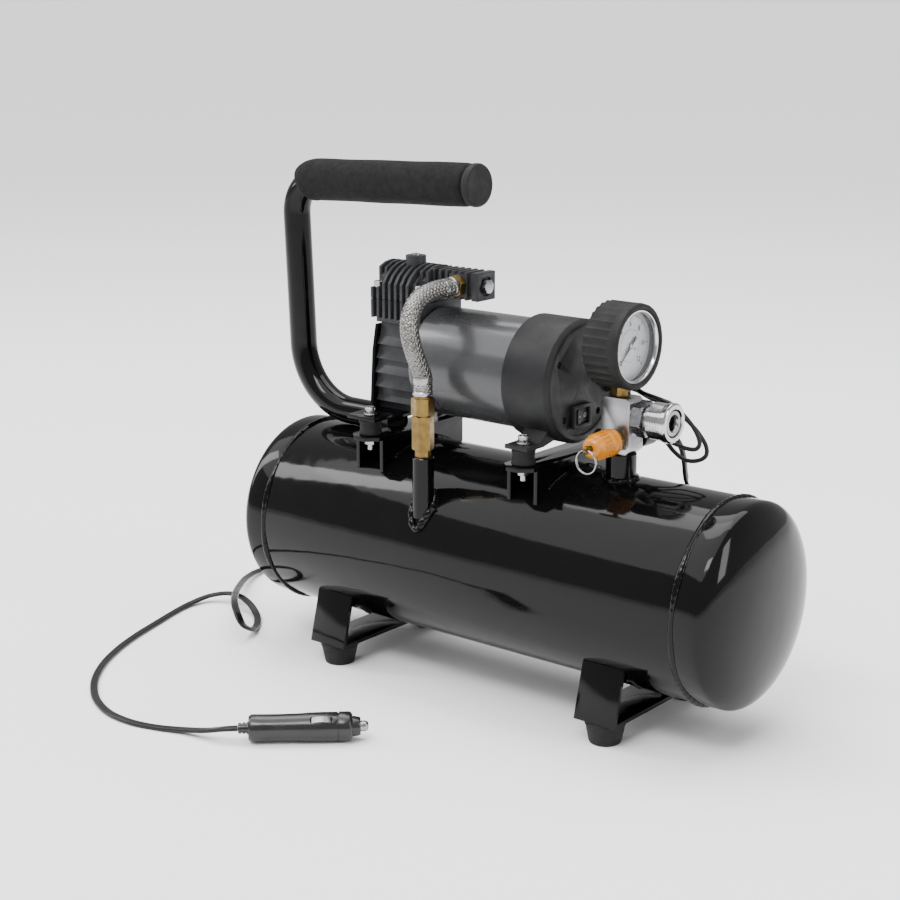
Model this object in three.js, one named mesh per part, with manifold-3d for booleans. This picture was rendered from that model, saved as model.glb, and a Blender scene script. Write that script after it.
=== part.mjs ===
// Portable 12 V piston compressor standing on a small horizontal air receiver tank.
// Millimetres. Origin on the floor under the middle of the tank, +X along the tank
// towards the gauge and the quick coupler, +Y away from the hose side, +Z up.
import * as THREE from 'three';
import { mergeVertices } from 'three/addons/utils/BufferGeometryUtils.js';
import Module from 'manifold-3d';

const wasm = await Module();
wasm.setup();

// ---- driving dimensions ----
const seat = 0.3; // gap between pieces that touch

// tank
const tankRadius = 75;
const tankWall = 2.5;
const tankLift = 29.75; // underside of the tank above the floor
const shellLength = 384;
const headFlange = 17;
const domeDepth = 21;
const tankAxis = tankLift + tankRadius;
const tankTop = tankLift + tankRadius * 2;

// feet
const bracketSpacing = 256.7; // between the two brackets, along the tank
const stripWidth = 35;
const stripThickness = 3;
const bracketHalfSpan = 70.7;
const legLean = 9.5; // how far a leg leans in over legRise
const legRise = 37;
const footHeight = 17.5;
const footTopRadius = 15;
const footBottomRadius = 11.6;
const footInset = 15; // foot centre in from the bracket's end

// cross channels that carry the compressor
const channelX = [-100, 47];
const channelWidth = 27;
const channelHeight = 10.25; // top face above the tank's top line
const channelPlate = 3;
const channelWallHalf = 49;
const channelEarHalf = 61;
const boltHalfSpan = 47.5;
const isolatorRadius = 9;
const isolatorHeight = 11.7;
const boltRadius = 2.5;
const boltHole = 2.9;
const lugThickness = 3;
const lugHalf = 57;

// handle
const handleTubeRadius = 11;
const handleTubeWall = 1.6;
const handleBackX = -212.5; // foot of the upright
const handleLean = 8; // top of the upright leans out by this much
const handleTopZ = tankTop + 194.85;
const handleRise = 6.6; // the grip end is higher than the bend end
const handleEndX = -37.5;
const lowerBend = 53;
const upperBend = 28;
const gripRadius = 16.5;

// motor
const canRadius = 41.5;
const motorGap = 24.15; // underside of the motor above the tank's top line
const motorAxis = tankTop + motorGap + canRadius;
const canWall = 2;
const canStart = -68;
const canEnd = 40;
const coverWall = 4.5;
const coverRadius = canRadius + coverWall;
const coverStart = 24.8;
const coverEnd = 65;
const coverFace = 3;
const coverRecess = 1; // the middle of the cover's face lies back by this much
const shaftRadius = 4;
const shaftClearance = 0.45;
const rotorRadius = 25.5;
const magnetInner = rotorRadius + 1.5;

// compressor
const cylinderX = -93.7;
const boreRadius = 15.4;
const pistonClearance = 0.7;
const crankThrow = 8;
const crankDisc = 15;
const crankPin = 3;
const crankcaseStart = -112.7;
const crankcaseTop = motorAxis + 26.6;
const cylinderTop = crankcaseTop + 19;
const headWidth = 52;
const headDepth = 50;
const headShoulder = cylinderTop + 13;
const headCrown = cylinderTop + 28;
const finPitch = 5.9;
const finThickness = 2.6;
const bossRadius = 8;
const bossTop = headCrown + 5;

// delivery line
const pipeX = -35.4;
const pipeY = -62;
const pipeRadius = 8.2;
const pipeTop = tankTop + 5.55;
const pipeBottom = tankAxis + 29.25;
const valveHex = 14.5;
const valveTop = pipeTop + 31.6;
const nutHex = 15.4;
const nutTop = valveTop + 15.1;
const hoseRadius = 7.2;
const ferruleRadius = 6.5;

// outlet block and what screws into it
const nippleRadius = 11.2;
const blockX = 100.5;
const blockY = -1;
const blockWidth = 24;
const blockDepth = 18;
const blockBottom = tankTop + 19.25;
const blockHeight = 41;
const blockBore = 5;
const gaugeRadius = 28;
const gaugeStem = 9;
const gaugeCentre = blockBottom + blockHeight + gaugeStem + gaugeRadius;
const gaugeBack = 88;
const gaugeDepth = 23;
const gaugeWall = 2;
const bootWall = 3.1;
const bootFront = 113.7;
const couplerHeight = blockBottom + 27;
const couplerRecess = 8.6;
const sleeveRadius = 13.4;
const sleeveInner = 10;
const sleeveTravel = 3.5;
const couplerBore = 5.5;
const reliefX = 102.5;
const reliefZ = blockBottom + 10.5;
const reliefHex = 13;
const capRadius = 9.9;
const capLength = 26.4;
const stemRadius = 2;
const splitRing = 8.6;
const splitWire = 0.7;
const switchRadius = 10.5;

// lead and plug
const cordRadius = 2.5;
const wireRadius = 1.6;
const plugRadius = 10.5;
const plugCollar = 10.7;
const plugLength = 62.7;
const plugAngle = 41.9;

// ---- materials ----
const paint = (color, roughness, metalness) => new THREE.MeshStandardMaterial({ color, roughness, metalness });
const looks = {
  tankPaint: () => paint(0x0b0b0c, 0.15, 0.2),
  rubber: () => paint(0x141414, 0.8, 0),
  foam: () => paint(0x1a1a1b, 0.95, 0),
  castGrey: () => paint(0x4a4a4f, 0.5, 0.4),
  blackPlastic: () => paint(0x222225, 0.6, 0),
  steel: () => paint(0xb9b9bb, 0.3, 1),
  brass: () => paint(0xa98444, 0.35, 1),
  aluminium: () => paint(0xb4b4b8, 0.4, 1),
  yellow: () => paint(0xd98a1c, 0.5, 0),
  dial: () => paint(0xc6c8cc, 0.5, 0.2),
  glass: () => paint(0xe8eef2, 0.05, 0),
};

// ---- solids ----
const model = new THREE.Group();

function add(name, geometry, material, parent = model) {
  const mesh = new THREE.Mesh(geometry, material());
  mesh.name = name;
  parent.add(mesh);
  return mesh;
}

// A closed geometry becomes a manifold solid, ready to be joined or cut.
function solid(geometry) {
  const bare = geometry.clone();
  bare.deleteAttribute('normal');
  bare.deleteAttribute('uv');
  const merged = mergeVertices(bare, 1e-4);
  const corners = [];
  const index = merged.index.array;
  for (let i = 0; i < index.length; i += 3) {
    const [a, b, c] = [index[i], index[i + 1], index[i + 2]];
    if (a !== b && b !== c && c !== a) corners.push(a, b, c);
  }
  return new wasm.Manifold(new wasm.Mesh({
    numProp: 3,
    vertProperties: new Float32Array(merged.attributes.position.array),
    triVerts: new Uint32Array(corners),
  }));
}

function shapeOf(manifold) {
  const mesh = manifold.getMesh();
  const geometry = new THREE.BufferGeometry();
  geometry.setAttribute('position', new THREE.BufferAttribute(new Float32Array(mesh.vertProperties), 3));
  geometry.setIndex(new THREE.BufferAttribute(new Uint32Array(mesh.triVerts), 1));
  return geometry;
}

function build(first, { plus = [], minus = [] } = {}) {
  let result = solid(first);
  for (const piece of plus) result = result.add(solid(piece));
  for (const piece of minus) result = result.subtract(solid(piece));
  return shapeOf(result);
}

const box = (x0, x1, y0, y1, z0, z1) => new THREE.BoxGeometry(x1 - x0, y1 - y0, z1 - z0)
  .translate((x0 + x1) / 2, (y0 + y1) / 2, (z0 + z1) / 2);

// Round bars and cones along one axis, from the first end to the second.
function rodZ(r0, r1, z0, z1, x = 0, y = 0, sides = 24) {
  return new THREE.CylinderGeometry(r1, r0, z1 - z0, sides).rotateX(Math.PI / 2).translate(x, y, (z0 + z1) / 2);
}
function rodX(r0, r1, x0, x1, y = 0, z = 0, sides = 24) {
  return new THREE.CylinderGeometry(r1, r0, x1 - x0, sides).rotateZ(-Math.PI / 2).translate((x0 + x1) / 2, y, z);
}
function rodY(r0, r1, y0, y1, x = 0, z = 0, sides = 24) {
  return new THREE.CylinderGeometry(r1, r0, y1 - y0, sides).translate(x, (y0 + y1) / 2, z);
}
const hexRadius = (acrossFlats) => acrossFlats / Math.sqrt(3);

// A turned shape: profile of [radius, place along X], closed on itself or ending on the axis.
function turnedX(profile, sides = 24) {
  const points = profile.map(([r, x]) => new THREE.Vector2(r, x));
  return new THREE.LatheGeometry(points, sides).rotateZ(-Math.PI / 2);
}
function turnedZ(profile, sides = 24) {
  const points = profile.map(([r, z]) => new THREE.Vector2(r, z));
  return new THREE.LatheGeometry(points, sides).rotateX(Math.PI / 2);
}

function turnedY(profile, sides = 24) {
  return new THREE.LatheGeometry(profile.map(([r, y]) => new THREE.Vector2(r, y)), sides);
}

function polygon(points) {
  return new THREE.Shape(points.map(([a, b]) => new THREE.Vector2(a, b)));
}
// A flat outline of [y, z] points given a thickness along X.
function plateX(points, x0, x1) {
  return new THREE.ExtrudeGeometry(polygon(points), { depth: x1 - x0, bevelEnabled: false })
    .applyMatrix4(new THREE.Matrix4().set(0, 0, 1, x0, 1, 0, 0, 0, 0, 1, 0, 0, 0, 0, 0, 1));
}
// A flat outline of [x, z] points given a thickness along Y.
function plateY(points, y0, y1) {
  return new THREE.ExtrudeGeometry(polygon(points), { depth: y1 - y0, bevelEnabled: false })
    .rotateX(Math.PI / 2).translate(0, y1, 0);
}
// A flat outline of [x, y] points given a thickness along Z.
function plateZ(points, z0, z1) {
  return new THREE.ExtrudeGeometry(polygon(points), { depth: z1 - z0, bevelEnabled: false }).translate(0, 0, z0);
}

function circle(radius, sides) {
  const points = [];
  for (let i = 0; i < sides; i += 1) {
    const turn = (i / sides) * Math.PI * 2;
    points.push([radius * Math.cos(turn), radius * Math.sin(turn)]);
  }
  return points;
}
// A bar, or a tube where an inner radius is given, along a curve.
function along(curve, steps, radius, inner = 0, sides = 12) {
  const section = polygon(circle(radius, sides));
  if (inner > 0) section.holes.push(new THREE.Path(circle(inner, sides).map(([a, b]) => new THREE.Vector2(a, b))));
  return new THREE.ExtrudeGeometry(section, { steps, extrudePath: curve, bevelEnabled: false });
}
// A path whose cross-sections stand at the given points, and nowhere else.
class Stations extends THREE.Curve {
  constructor(points) {
    super();
    this.points = points.map((p) => new THREE.Vector3(...p));
  }

  getPoint(share, target = new THREE.Vector3()) {
    const last = this.points.length - 1;
    const place = Math.min(share * last, last - 1e-9);
    const i = Math.floor(place + 1e-9);
    return target.lerpVectors(this.points[i], this.points[Math.min(i + 1, last)], place - i);
  }

  getPointAt(share, target) {
    return this.getPoint(share, target);
  }

  getTangentAt(share, target = new THREE.Vector3()) {
    const last = this.points.length - 1;
    const i = Math.round(share * last);
    const before = this.points[Math.max(i - 1, 0)];
    const after = this.points[Math.min(i + 1, last)];
    return target.subVectors(after, before).normalize();
  }
}
function throughPoints(points, radius, inner = 0, sides = 12) {
  return along(new Stations(points), points.length - 1, radius, inner, sides);
}
const smooth = (points) => new THREE.CatmullRomCurve3(points.map((p) => new THREE.Vector3(...p)), false, 'centripetal');

// Everything inside this long bar is inside the tank's outer skin.
const tankBody = () => rodX(tankRadius + seat, tankRadius + seat, -shellLength, shellLength, 0, tankAxis, 96);

// ---- tank: rolled shell and two pressed heads ----
const inletPort = rodZ(pipeRadius - 3, pipeRadius - 3, tankAxis, tankTop, pipeX, pipeY, 16);
const outletPort = rodZ(blockBore + 1, blockBore + 1, tankAxis, tankTop + 5, blockX, blockY, 16);
add('tank_shell', build(rodX(tankRadius, tankRadius, -shellLength / 2, shellLength / 2, 0, tankAxis, 40), {
  minus: [
    rodX(tankRadius - tankWall, tankRadius - tankWall, -shellLength, shellLength, 0, tankAxis, 40),
    inletPort,
    outletPort,
  ],
}), looks.tankPaint);

function headProfile() {
  const start = shellLength / 2 + seat;
  const shoulder = start + headFlange;
  const skin = tankRadius - tankWall;
  const spigot = skin - seat - 0.4;
  const spigotLength = 9;
  const dome = (radius, depth, i, steps) => {
    const turn = (i / steps) * (Math.PI / 2);
    return [i === steps ? 0 : radius * Math.cos(turn), shoulder + depth * Math.sin(turn)];
  };
  const points = [];
  for (let i = 4; i >= 0; i -= 1) points.push(dome(skin, domeDepth - tankWall - 0.5, i, 4));
  points.push([skin, start + 6], [spigot - tankWall, start + 3], [spigot - tankWall, start - spigotLength]);
  points.push([spigot, start - spigotLength], [spigot, start], [tankRadius, start]);
  for (let i = 0; i <= 7; i += 1) points.push(dome(tankRadius, domeDepth, i, 7));
  return points;
}
const headShape = turnedX(headProfile(), 40);
add('tank_head_right', headShape.clone().translate(0, 0, tankAxis), looks.tankPaint);
add('tank_head_left', headShape.clone().rotateZ(Math.PI).translate(0, 0, tankAxis), looks.tankPaint);

// ---- feet: two folded strips welded under the tank, a rubber buffer at each end ----
const stripUnder = footHeight + seat;
const stripTop = stripUnder + stripThickness;
function footStrip() {
  const reach = 1.3; // the leg is drawn past the tank's skin and trimmed to it
  const leg = [legLean * reach, legRise * reach];
  const outline = [
    [-bracketHalfSpan, stripUnder],
    [bracketHalfSpan, stripUnder],
    [bracketHalfSpan - leg[0], stripUnder + leg[1]],
    [bracketHalfSpan - leg[0] - stripThickness, stripUnder + leg[1]],
    [bracketHalfSpan - stripThickness - 0.8, stripTop],
    [-bracketHalfSpan + stripThickness + 0.8, stripTop],
    [-bracketHalfSpan + leg[0] + stripThickness, stripUnder + leg[1]],
    [-bracketHalfSpan + leg[0], stripUnder + leg[1]],
  ];
  return plateX(outline, -stripWidth / 2, stripWidth / 2);
}
function rubberFoot() {
  return turnedZ([
    [0, 0], [footBottomRadius - 0.8, 0], [footBottomRadius, 0.8], [footTopRadius - 0.6, footHeight - 4],
    [footTopRadius, footHeight - 3], [footTopRadius, footHeight], [0, footHeight],
  ], 24);
}
for (const [side, place] of [['left', -1], ['right', 1]]) {
  const x = (place * bracketSpacing) / 2;
  add(`foot_bracket_${side}`, build(footStrip().translate(x, 0, 0), { minus: [tankBody()] }), looks.tankPaint);
  for (const [end, across] of [['front', -1], ['rear', 1]]) {
    const foot = add(`rubber_foot_${side}_${end}`, rubberFoot(), looks.rubber);
    foot.position.set(x, across * (bracketHalfSpan - footInset), 0);
  }
}

// ---- channels across the tank, rubber isolators and their screws ----
const channelTop = tankTop + channelHeight;
const channelUnder = channelTop - channelPlate;
function channel() {
  const half = channelWidth / 2;
  const low = tankAxis + 20;
  const corner = 2;
  const section = [
    [-half, low], [-half, channelTop - corner], [-half + corner, channelTop],
    [half - corner, channelTop], [half, channelTop - corner], [half, low],
    [half - channelPlate, low], [half - channelPlate, channelUnder],
    [-half + channelPlate, channelUnder], [-half + channelPlate, low],
  ];
  const trim = 8;
  const ear = [
    [-half, -channelEarHalf + trim], [-half + trim, -channelEarHalf], [half - trim, -channelEarHalf],
    [half, -channelEarHalf + trim], [half, channelEarHalf - trim], [half - trim, channelEarHalf],
    [-half + trim, channelEarHalf], [-half, channelEarHalf - trim],
  ];
  return build(plateY(section, -channelWallHalf, channelWallHalf), {
    plus: [plateZ(ear, channelUnder, channelTop)],
    minus: [
      rodZ(boltHole, boltHole, channelUnder - 1, channelTop + 1, 0, boltHalfSpan, 12),
      rodZ(boltHole, boltHole, channelUnder - 1, channelTop + 1, 0, -boltHalfSpan, 12),
      tankBody(),
    ],
  });
}
const isolatorBase = channelTop + seat;
const lugUnder = isolatorBase + isolatorHeight + seat;
const lugTop = lugUnder + lugThickness;
function isolatorBolt() {
  const head = lugTop + seat;
  const washer = 1;
  const nutTopFace = channelUnder - seat;
  return build(rodZ(boltRadius, boltRadius, nutTopFace - 9, head + 1, 0, 0, 12), {
    plus: [
      rodZ(5.5, 5.5, head, head + washer, 0, 0, 16),
      rodZ(4.25, 4.25, head + washer, head + washer + 5, 0, 0, 16),
      rodZ(hexRadius(8), hexRadius(8), nutTopFace - 4.5, nutTopFace, 0, 0, 6),
    ],
    minus: [rodZ(hexRadius(4), hexRadius(4), head + washer + 2.4, head + washer + 6, 0, 0, 6)],
  });
}
const isolator = build(rodZ(isolatorRadius, isolatorRadius, 0, isolatorHeight, 0, 0, 20), {
  minus: [rodZ(boltHole, boltHole, -1, isolatorHeight + 1, 0, 0, 12)],
});
for (const [side, x] of [['left', channelX[0]], ['right', channelX[1]]]) {
  add(`mount_channel_${side}`, channel(), looks.tankPaint).position.x = x;
  for (const [end, y] of [['front', -boltHalfSpan], ['rear', boltHalfSpan]]) {
    add(`isolator_${side}_${end}`, isolator, looks.rubber).position.set(x, y, isolatorBase);
    add(`isolator_bolt_${side}_${end}`, isolatorBolt(), looks.steel).position.set(x, y, 0);
  }
}

// ---- carrying handle: one bent tube, a foam grip and an end plug ----
// Straight runs joined by round bends; corners are [x, z], all in the plane y = 0.
function bentPath(corners, radii) {
  const points = [[corners[0][0], 0, corners[0][1]]];
  for (let i = 1; i < corners.length - 1; i += 1) {
    const here = new THREE.Vector2(...corners[i]);
    const back = new THREE.Vector2(...corners[i - 1]).sub(here).normalize();
    const on = new THREE.Vector2(...corners[i + 1]).sub(here).normalize();
    const half = Math.acos(back.dot(on)) / 2;
    const radius = radii[i - 1];
    const middle = back.clone().add(on).normalize();
    const centre = here.clone().addScaledVector(middle, radius / Math.sin(half));
    const from = here.clone().addScaledVector(back, radius / Math.tan(half)).sub(centre);
    const sweep = Math.PI - 2 * half;
    const side = Math.sign(from.y * back.x - from.x * back.y);
    for (let k = 0; k <= 6; k += 1) {
      const spoke = from.clone().rotateAround(new THREE.Vector2(), (side * sweep * k) / 6).add(centre);
      points.push([spoke.x, 0, spoke.y]);
    }
  }
  const end = corners[corners.length - 1];
  points.push([end[0], 0, end[1]]);
  return points;
}
const handleLowZ = tankTop + seat + handleTubeRadius;
const handleFootX = channelX[0] - channelWidth / 2 - seat;
const handleFrontZ = handleTopZ + handleRise;
const handlePoints = bentPath([
  [handleFootX, handleLowZ],
  [handleBackX, handleLowZ],
  [handleBackX - handleLean, handleTopZ],
  [handleEndX, handleFrontZ],
], [lowerBend, upperBend]);
const handleInner = handleTubeRadius - handleTubeWall;
add('handle_tube', throughPoints(handlePoints, handleTubeRadius, handleInner, 16), looks.tankPaint);

// The foam sleeve starts half way round the upper bend.
const gripPoints = handlePoints.slice(-5);
gripPoints[gripPoints.length - 1] = [handleEndX - 1, 0, handleFrontZ - 0.04];
add('handle_grip', throughPoints(gripPoints, gripRadius, handleTubeRadius + seat, 20), looks.foam);

const handleCap = add('handle_end_cap', turnedX([
  [0, -12], [handleInner - seat - 0.3, -12], [handleInner - seat - 0.3, seat], [gripRadius - 0.6, seat],
  [gripRadius - 0.3, 2], [gripRadius - 0.3, 5], [gripRadius - 1.6, 6.4], [0, 6.4],
], 24), looks.rubber);
handleCap.position.set(handleEndX, 0, handleFrontZ);
handleCap.rotation.y = -Math.atan2(handleRise, handleEndX - handleBackX + handleLean);

// ---- compressor: cradle, crankcase, cylinder, head ----
const crankcaseEnd = canStart - seat;
const cradleEnd = crankcaseStart - seat;
function cradle() {
  const top = crankcaseTop - 1;
  const waist = crankcaseTop - 22;
  const upright = [[-30, lugUnder], [30, lugUnder], [27, waist], [23, top], [-23, top], [-27, waist]];
  const flange = [
    [cradleEnd - lugThickness, -lugHalf], [-88, -lugHalf], [-88, -36], [-82, -30],
    [-82, 30], [-88, 36], [-88, lugHalf], [cradleEnd - lugThickness, lugHalf],
  ];
  return build(plateX(upright, cradleEnd - lugThickness, cradleEnd), {
    plus: [plateZ(flange, lugUnder, lugTop)],
    minus: [
      rodZ(boltHole, boltHole, lugUnder - 1, lugTop + 1, channelX[0], boltHalfSpan, 12),
      rodZ(boltHole, boltHole, lugUnder - 1, lugTop + 1, channelX[0], -boltHalfSpan, 12),
    ],
  });
}
add('crankcase_cradle', cradle(), looks.tankPaint);

function crankcase() {
  const floor = lugTop + seat;
  const hips = crankcaseTop - 47;
  const waist = crankcaseTop - 22;
  const outline = [[-22, floor], [22, floor], [25, hips], [23, waist], [19, crankcaseTop], [-19, crankcaseTop],
    [-23, waist], [-25, hips]];
  const fins = [];
  for (let z = floor + 6.4; z < crankcaseTop - 6; z += 11) {
    const half = 28 - Math.abs(z - hips - 3) * 0.13;
    fins.push(plateX([[-half, z], [half, z], [half - 3.4, z + 6], [-half + 3.4, z + 6]], crankcaseStart, crankcaseEnd));
  }
  return build(plateX(outline, crankcaseStart, crankcaseEnd), {
    plus: fins,
    minus: [
      rodX(crankDisc + 4.5, crankDisc + 4.5, crankcaseStart + 5, crankcaseEnd + 1, 0, motorAxis, 28),
      rodZ(boreRadius, boreRadius, motorAxis, crankcaseTop + 1, cylinderX, 0, 28),
    ],
  });
}
add('crankcase', crankcase(), looks.castGrey);

const finCount = Math.floor((headWidth - finThickness) / finPitch) + 1;
const coreHalf = ((finCount - 1) * finPitch) / 2;
const firstFin = cylinderX - coreHalf;
function cylinder() {
  const base = crankcaseTop + seat;
  const neck = 4;
  const fins = [];
  for (let i = 0; i < finCount; i += 1) {
    const x = firstFin + i * finPitch;
    fins.push(box(x - finThickness / 2, x + finThickness / 2, -headDepth / 2, headDepth / 2, base + neck, cylinderTop));
  }
  return build(box(cylinderX - coreHalf, cylinderX + coreHalf, -20, 20, base, cylinderTop), {
    plus: fins,
    minus: [rodZ(boreRadius, boreRadius, base - 1, cylinderTop + 1, cylinderX, 0, 28)],
  });
}
add('cylinder', cylinder(), looks.castGrey);

// One cooling fin of the head: straight sides and a crown that is an arc of a circle.
function crownOutline(half, base, shoulder, crown) {
  const points = [[-half, base], [half, base]];
  const rise = crown - shoulder;
  const round = (half * half + rise * rise) / (2 * rise);
  const reach = Math.asin(half / round);
  for (let i = 0; i <= 8; i += 1) {
    const turn = reach - (2 * reach * i) / 8;
    points.push([round * Math.sin(turn), crown - round + round * Math.cos(turn)]);
  }
  return points;
}
function cylinderHead() {
  const base = cylinderTop + seat;
  const core = plateX(crownOutline(21, base, headShoulder - 5, headCrown - 5), cylinderX - coreHalf, cylinderX + coreHalf);
  const fins = [];
  for (let i = 0; i < finCount; i += 1) {
    const x = firstFin + i * finPitch;
    const outline = crownOutline(headDepth / 2, base, headShoulder, headCrown);
    fins.push(plateX(outline, x - finThickness / 2, x + finThickness / 2));
  }
  // A pocket at each corner holds the head of a screw that clamps the head and the cylinder down.
  const pocket = 11;
  const pocketFloor = headShoulder - 4;
  const pockets = [];
  for (const side of [-1, 1]) {
    for (const end of [-1, 1]) {
      const x = cylinderX + side * (headWidth / 2 - pocket / 2);
      const y = end * (headDepth / 2 - pocket / 2 + 1);
      pockets.push(box(x - pocket / 2, x + pocket / 2, y - pocket / 2, y + pocket / 2, pocketFloor, headCrown));
    }
  }
  return build(core, {
    plus: [...fins, rodZ(bossRadius, bossRadius, headCrown - 8, bossTop, cylinderX, 0, 24)],
    minus: [
      ...pockets,
      rodZ(boreRadius - 3, boreRadius - 3, base - 1, base + 5, cylinderX, 0, 24),
      rodZ(3, 3, base, bossTop + 1, cylinderX, 0, 12),
    ],
  });
}
add('cylinder_head', cylinderHead(), looks.castGrey);

// ---- delivery block on the side of the head, with its hexagon plug ----
const deliveryStart = cylinderX + coreHalf + finThickness / 2 + seat;
const deliveryEnd = -24.7;
const deliveryZ = cylinderTop + 15.5;
const deliveryHalf = 10.7;
const adapterX = -43.6;
function deliveryBlock() {
  const plates = [];
  for (let x = deliveryStart; x < deliveryEnd - 10; x += 6.2) {
    plates.push(box(x, x + 2.6, -deliveryHalf, deliveryHalf, deliveryZ - deliveryHalf, deliveryZ + deliveryHalf));
  }
  const half = deliveryHalf;
  return build(box(deliveryStart, deliveryEnd, -7.4, 7.4, deliveryZ - 7.4, deliveryZ + 7.4), {
    plus: [
      ...plates,
      box(deliveryEnd - 6, deliveryEnd, -half, half, deliveryZ - half, deliveryZ + half),
      box(adapterX - 8.5, adapterX + 8.5, -half, 0, deliveryZ - 8.5, deliveryZ + 8.5),
    ],
    minus: [
      rodX(4, 4, deliveryStart - 1, deliveryEnd + 1, 0, deliveryZ, 16),
      rodX(7.4, 7.4, deliveryEnd - 2, deliveryEnd + 1, 0, deliveryZ, 24),
      rodY(4, 4, -half - 1, 0, adapterX, deliveryZ, 16),
    ],
  });
}
add('delivery_block', deliveryBlock(), looks.castGrey);
add('delivery_plug', build(rodX(3.6, 3.6, deliveryEnd - 9, deliveryEnd - 1, 0, deliveryZ, 16), {
  plus: [rodX(hexRadius(10), hexRadius(10), deliveryEnd - 2 + seat, deliveryEnd + 3, 0, deliveryZ, 6)],
}), looks.steel);

// ---- motor: can, field magnet, armature with crank, end cover with the switch ----
add('motor_can', build(rodX(canRadius, canRadius, canStart, canEnd, 0, motorAxis, 40), {
  minus: [
    rodX(canRadius - canWall, canRadius - canWall, canStart + 6, canEnd + 1, 0, motorAxis, 40),
    rodX(shaftRadius + shaftClearance, shaftRadius + shaftClearance, canStart - 1, canStart + 7, 0, motorAxis, 24),
  ],
}), looks.castGrey);
const magnetOuter = canRadius - canWall - seat - 0.2;
add('field_magnet', build(rodX(magnetOuter, magnetOuter, -48, 14, 0, motorAxis, 40), {
  minus: [rodX(magnetInner, magnetInner, -49, 15, 0, motorAxis, 32)],
}), looks.rubber);
add('armature', build(rodX(shaftRadius, shaftRadius, -86, coverEnd - coverFace - 5, 0, motorAxis, 24), {
  plus: [
    rodX(rotorRadius, rotorRadius, -46, 12, 0, motorAxis, 32),
    rodX(13, 13, 16, 30, 0, motorAxis, 24),
    rodX(crankDisc, crankDisc, -89, -83, 0, motorAxis, 28),
    rodX(crankPin, crankPin, -98, -88, crankThrow, motorAxis, 16),
  ],
}), looks.steel);
// The piston and its rod are one piece. The rod's big end stops clear above the crank pin's circle.
const pistonRadius = boreRadius - pistonClearance;
const rodFoot = motorAxis + crankThrow * 2 + crankPin + 1.2;
const pistonCrown = cylinderTop - crankThrow - 1;
add('piston', build(rodZ(pistonRadius, pistonRadius, pistonCrown - 6, pistonCrown, cylinderX, 0, 28), {
  plus: [
    box(cylinderX - 3, cylinderX + 3, -4.5, 4.5, rodFoot, pistonCrown - 5),
    box(cylinderX - 3, cylinderX + 3, -8, 8, rodFoot, rodFoot + 4),
  ],
}), looks.aluminium);

const switchY = -2.2;
const switchZ = motorAxis - 24.9;
const coverDisc = coverEnd - coverRecess;
const rockerPivot = coverEnd - 1.1;
function motorCover() {
  const rim = coverEnd - 3;
  const shell = turnedX([
    [0, rim - coverFace], [canRadius + seat, rim - coverFace], [canRadius + seat, coverStart], [coverRadius, coverStart],
    [coverRadius, rim], [coverRadius - 3, coverEnd], [coverRadius - 6, coverEnd], [coverRadius - 6, coverDisc],
    [0, coverDisc],
  ], 40).translate(0, 0, motorAxis);
  // Each leg spreads from the flank of the cover out to a flat lug over its isolator.
  const x = channelX[1];
  const legs = [];
  const holes = [];
  for (const side of [-1, 1]) {
    legs.push(plateX([
      [side * lugHalf, lugUnder], [side * 37, lugUnder], [side * 20, lugUnder + 3.4], [side * 26, lugUnder + 7],
      [side * 31, lugUnder + 12], [side * 42, lugTop], [side * lugHalf, lugTop],
    ], x - 10, x + 10));
    holes.push(rodZ(boltHole, boltHole, lugUnder - 1, lugTop + 1, x, side * boltHalfSpan, 12));
  }
  const screwHoles = [30, 150, 230, 310].map((degrees) => {
    const turn = THREE.MathUtils.degToRad(degrees);
    const out = coverRadius - 13;
    return rodX(2.8, 2.8, rim - coverFace - 1, coverEnd + 1, out * Math.cos(turn), motorAxis + out * Math.sin(turn), 12);
  });
  const cavity = rodX(canRadius + seat, canRadius + seat, coverStart - 1, rim - coverFace, 0, motorAxis, 40);
  return build(shell, {
    plus: legs,
    minus: [
      cavity,
      ...holes,
      ...screwHoles,
      box(rim - coverFace - 1, coverEnd + 1, switchY - 9, switchY + 9, switchZ - 6.7, switchZ + 6.7),
    ],
  });
}
add('motor_cover', motorCover(), looks.blackPlastic);

add('switch_frame', build(box(coverDisc + seat, coverEnd + 2, switchY - 11, switchY + 11, switchZ - 8.4, switchZ + 8.4), {
  plus: [box(coverEnd - 7, coverEnd, switchY - 8.7, switchY + 8.7, switchZ - 6.4, switchZ + 6.4)],
  minus: [box(coverEnd - 8, coverEnd + 3, switchY - 8.2, switchY + 8.2, switchZ - 5.9, switchZ + 5.9)],
}), looks.blackPlastic);

// The rocker's top is a shallow valley. At rest the +Y end is pushed in.
const rockerTilt = THREE.MathUtils.degToRad(10);
const rocker = add('switch_rocker', plateZ([
  [0, -7], [2.6, -7.5], [1.8, 0], [2.6, 7.5], [0, 7], [-3.6, 4], [-3.6, -4],
], -5.4, 5.4).rotateZ(rockerTilt), looks.blackPlastic);
rocker.position.set(rockerPivot, switchY, switchZ);

// ---- delivery line: adapter, braided hose, nut, check valve and the pipe into the tank ----
const adapterFace = -deliveryHalf - seat;
const adapterLength = 6;
add('hose_adapter', build(rodY(hexRadius(16), hexRadius(16), adapterFace - adapterLength, adapterFace, adapterX, deliveryZ, 6), {
  plus: [rodY(3.6, 3.6, adapterFace - 1, adapterFace + 6, adapterX, deliveryZ, 16)],
  minus: [rodY(2, 2, adapterFace - adapterLength - 1, adapterFace + 7, adapterX, deliveryZ, 12)],
}), looks.brass);

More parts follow.
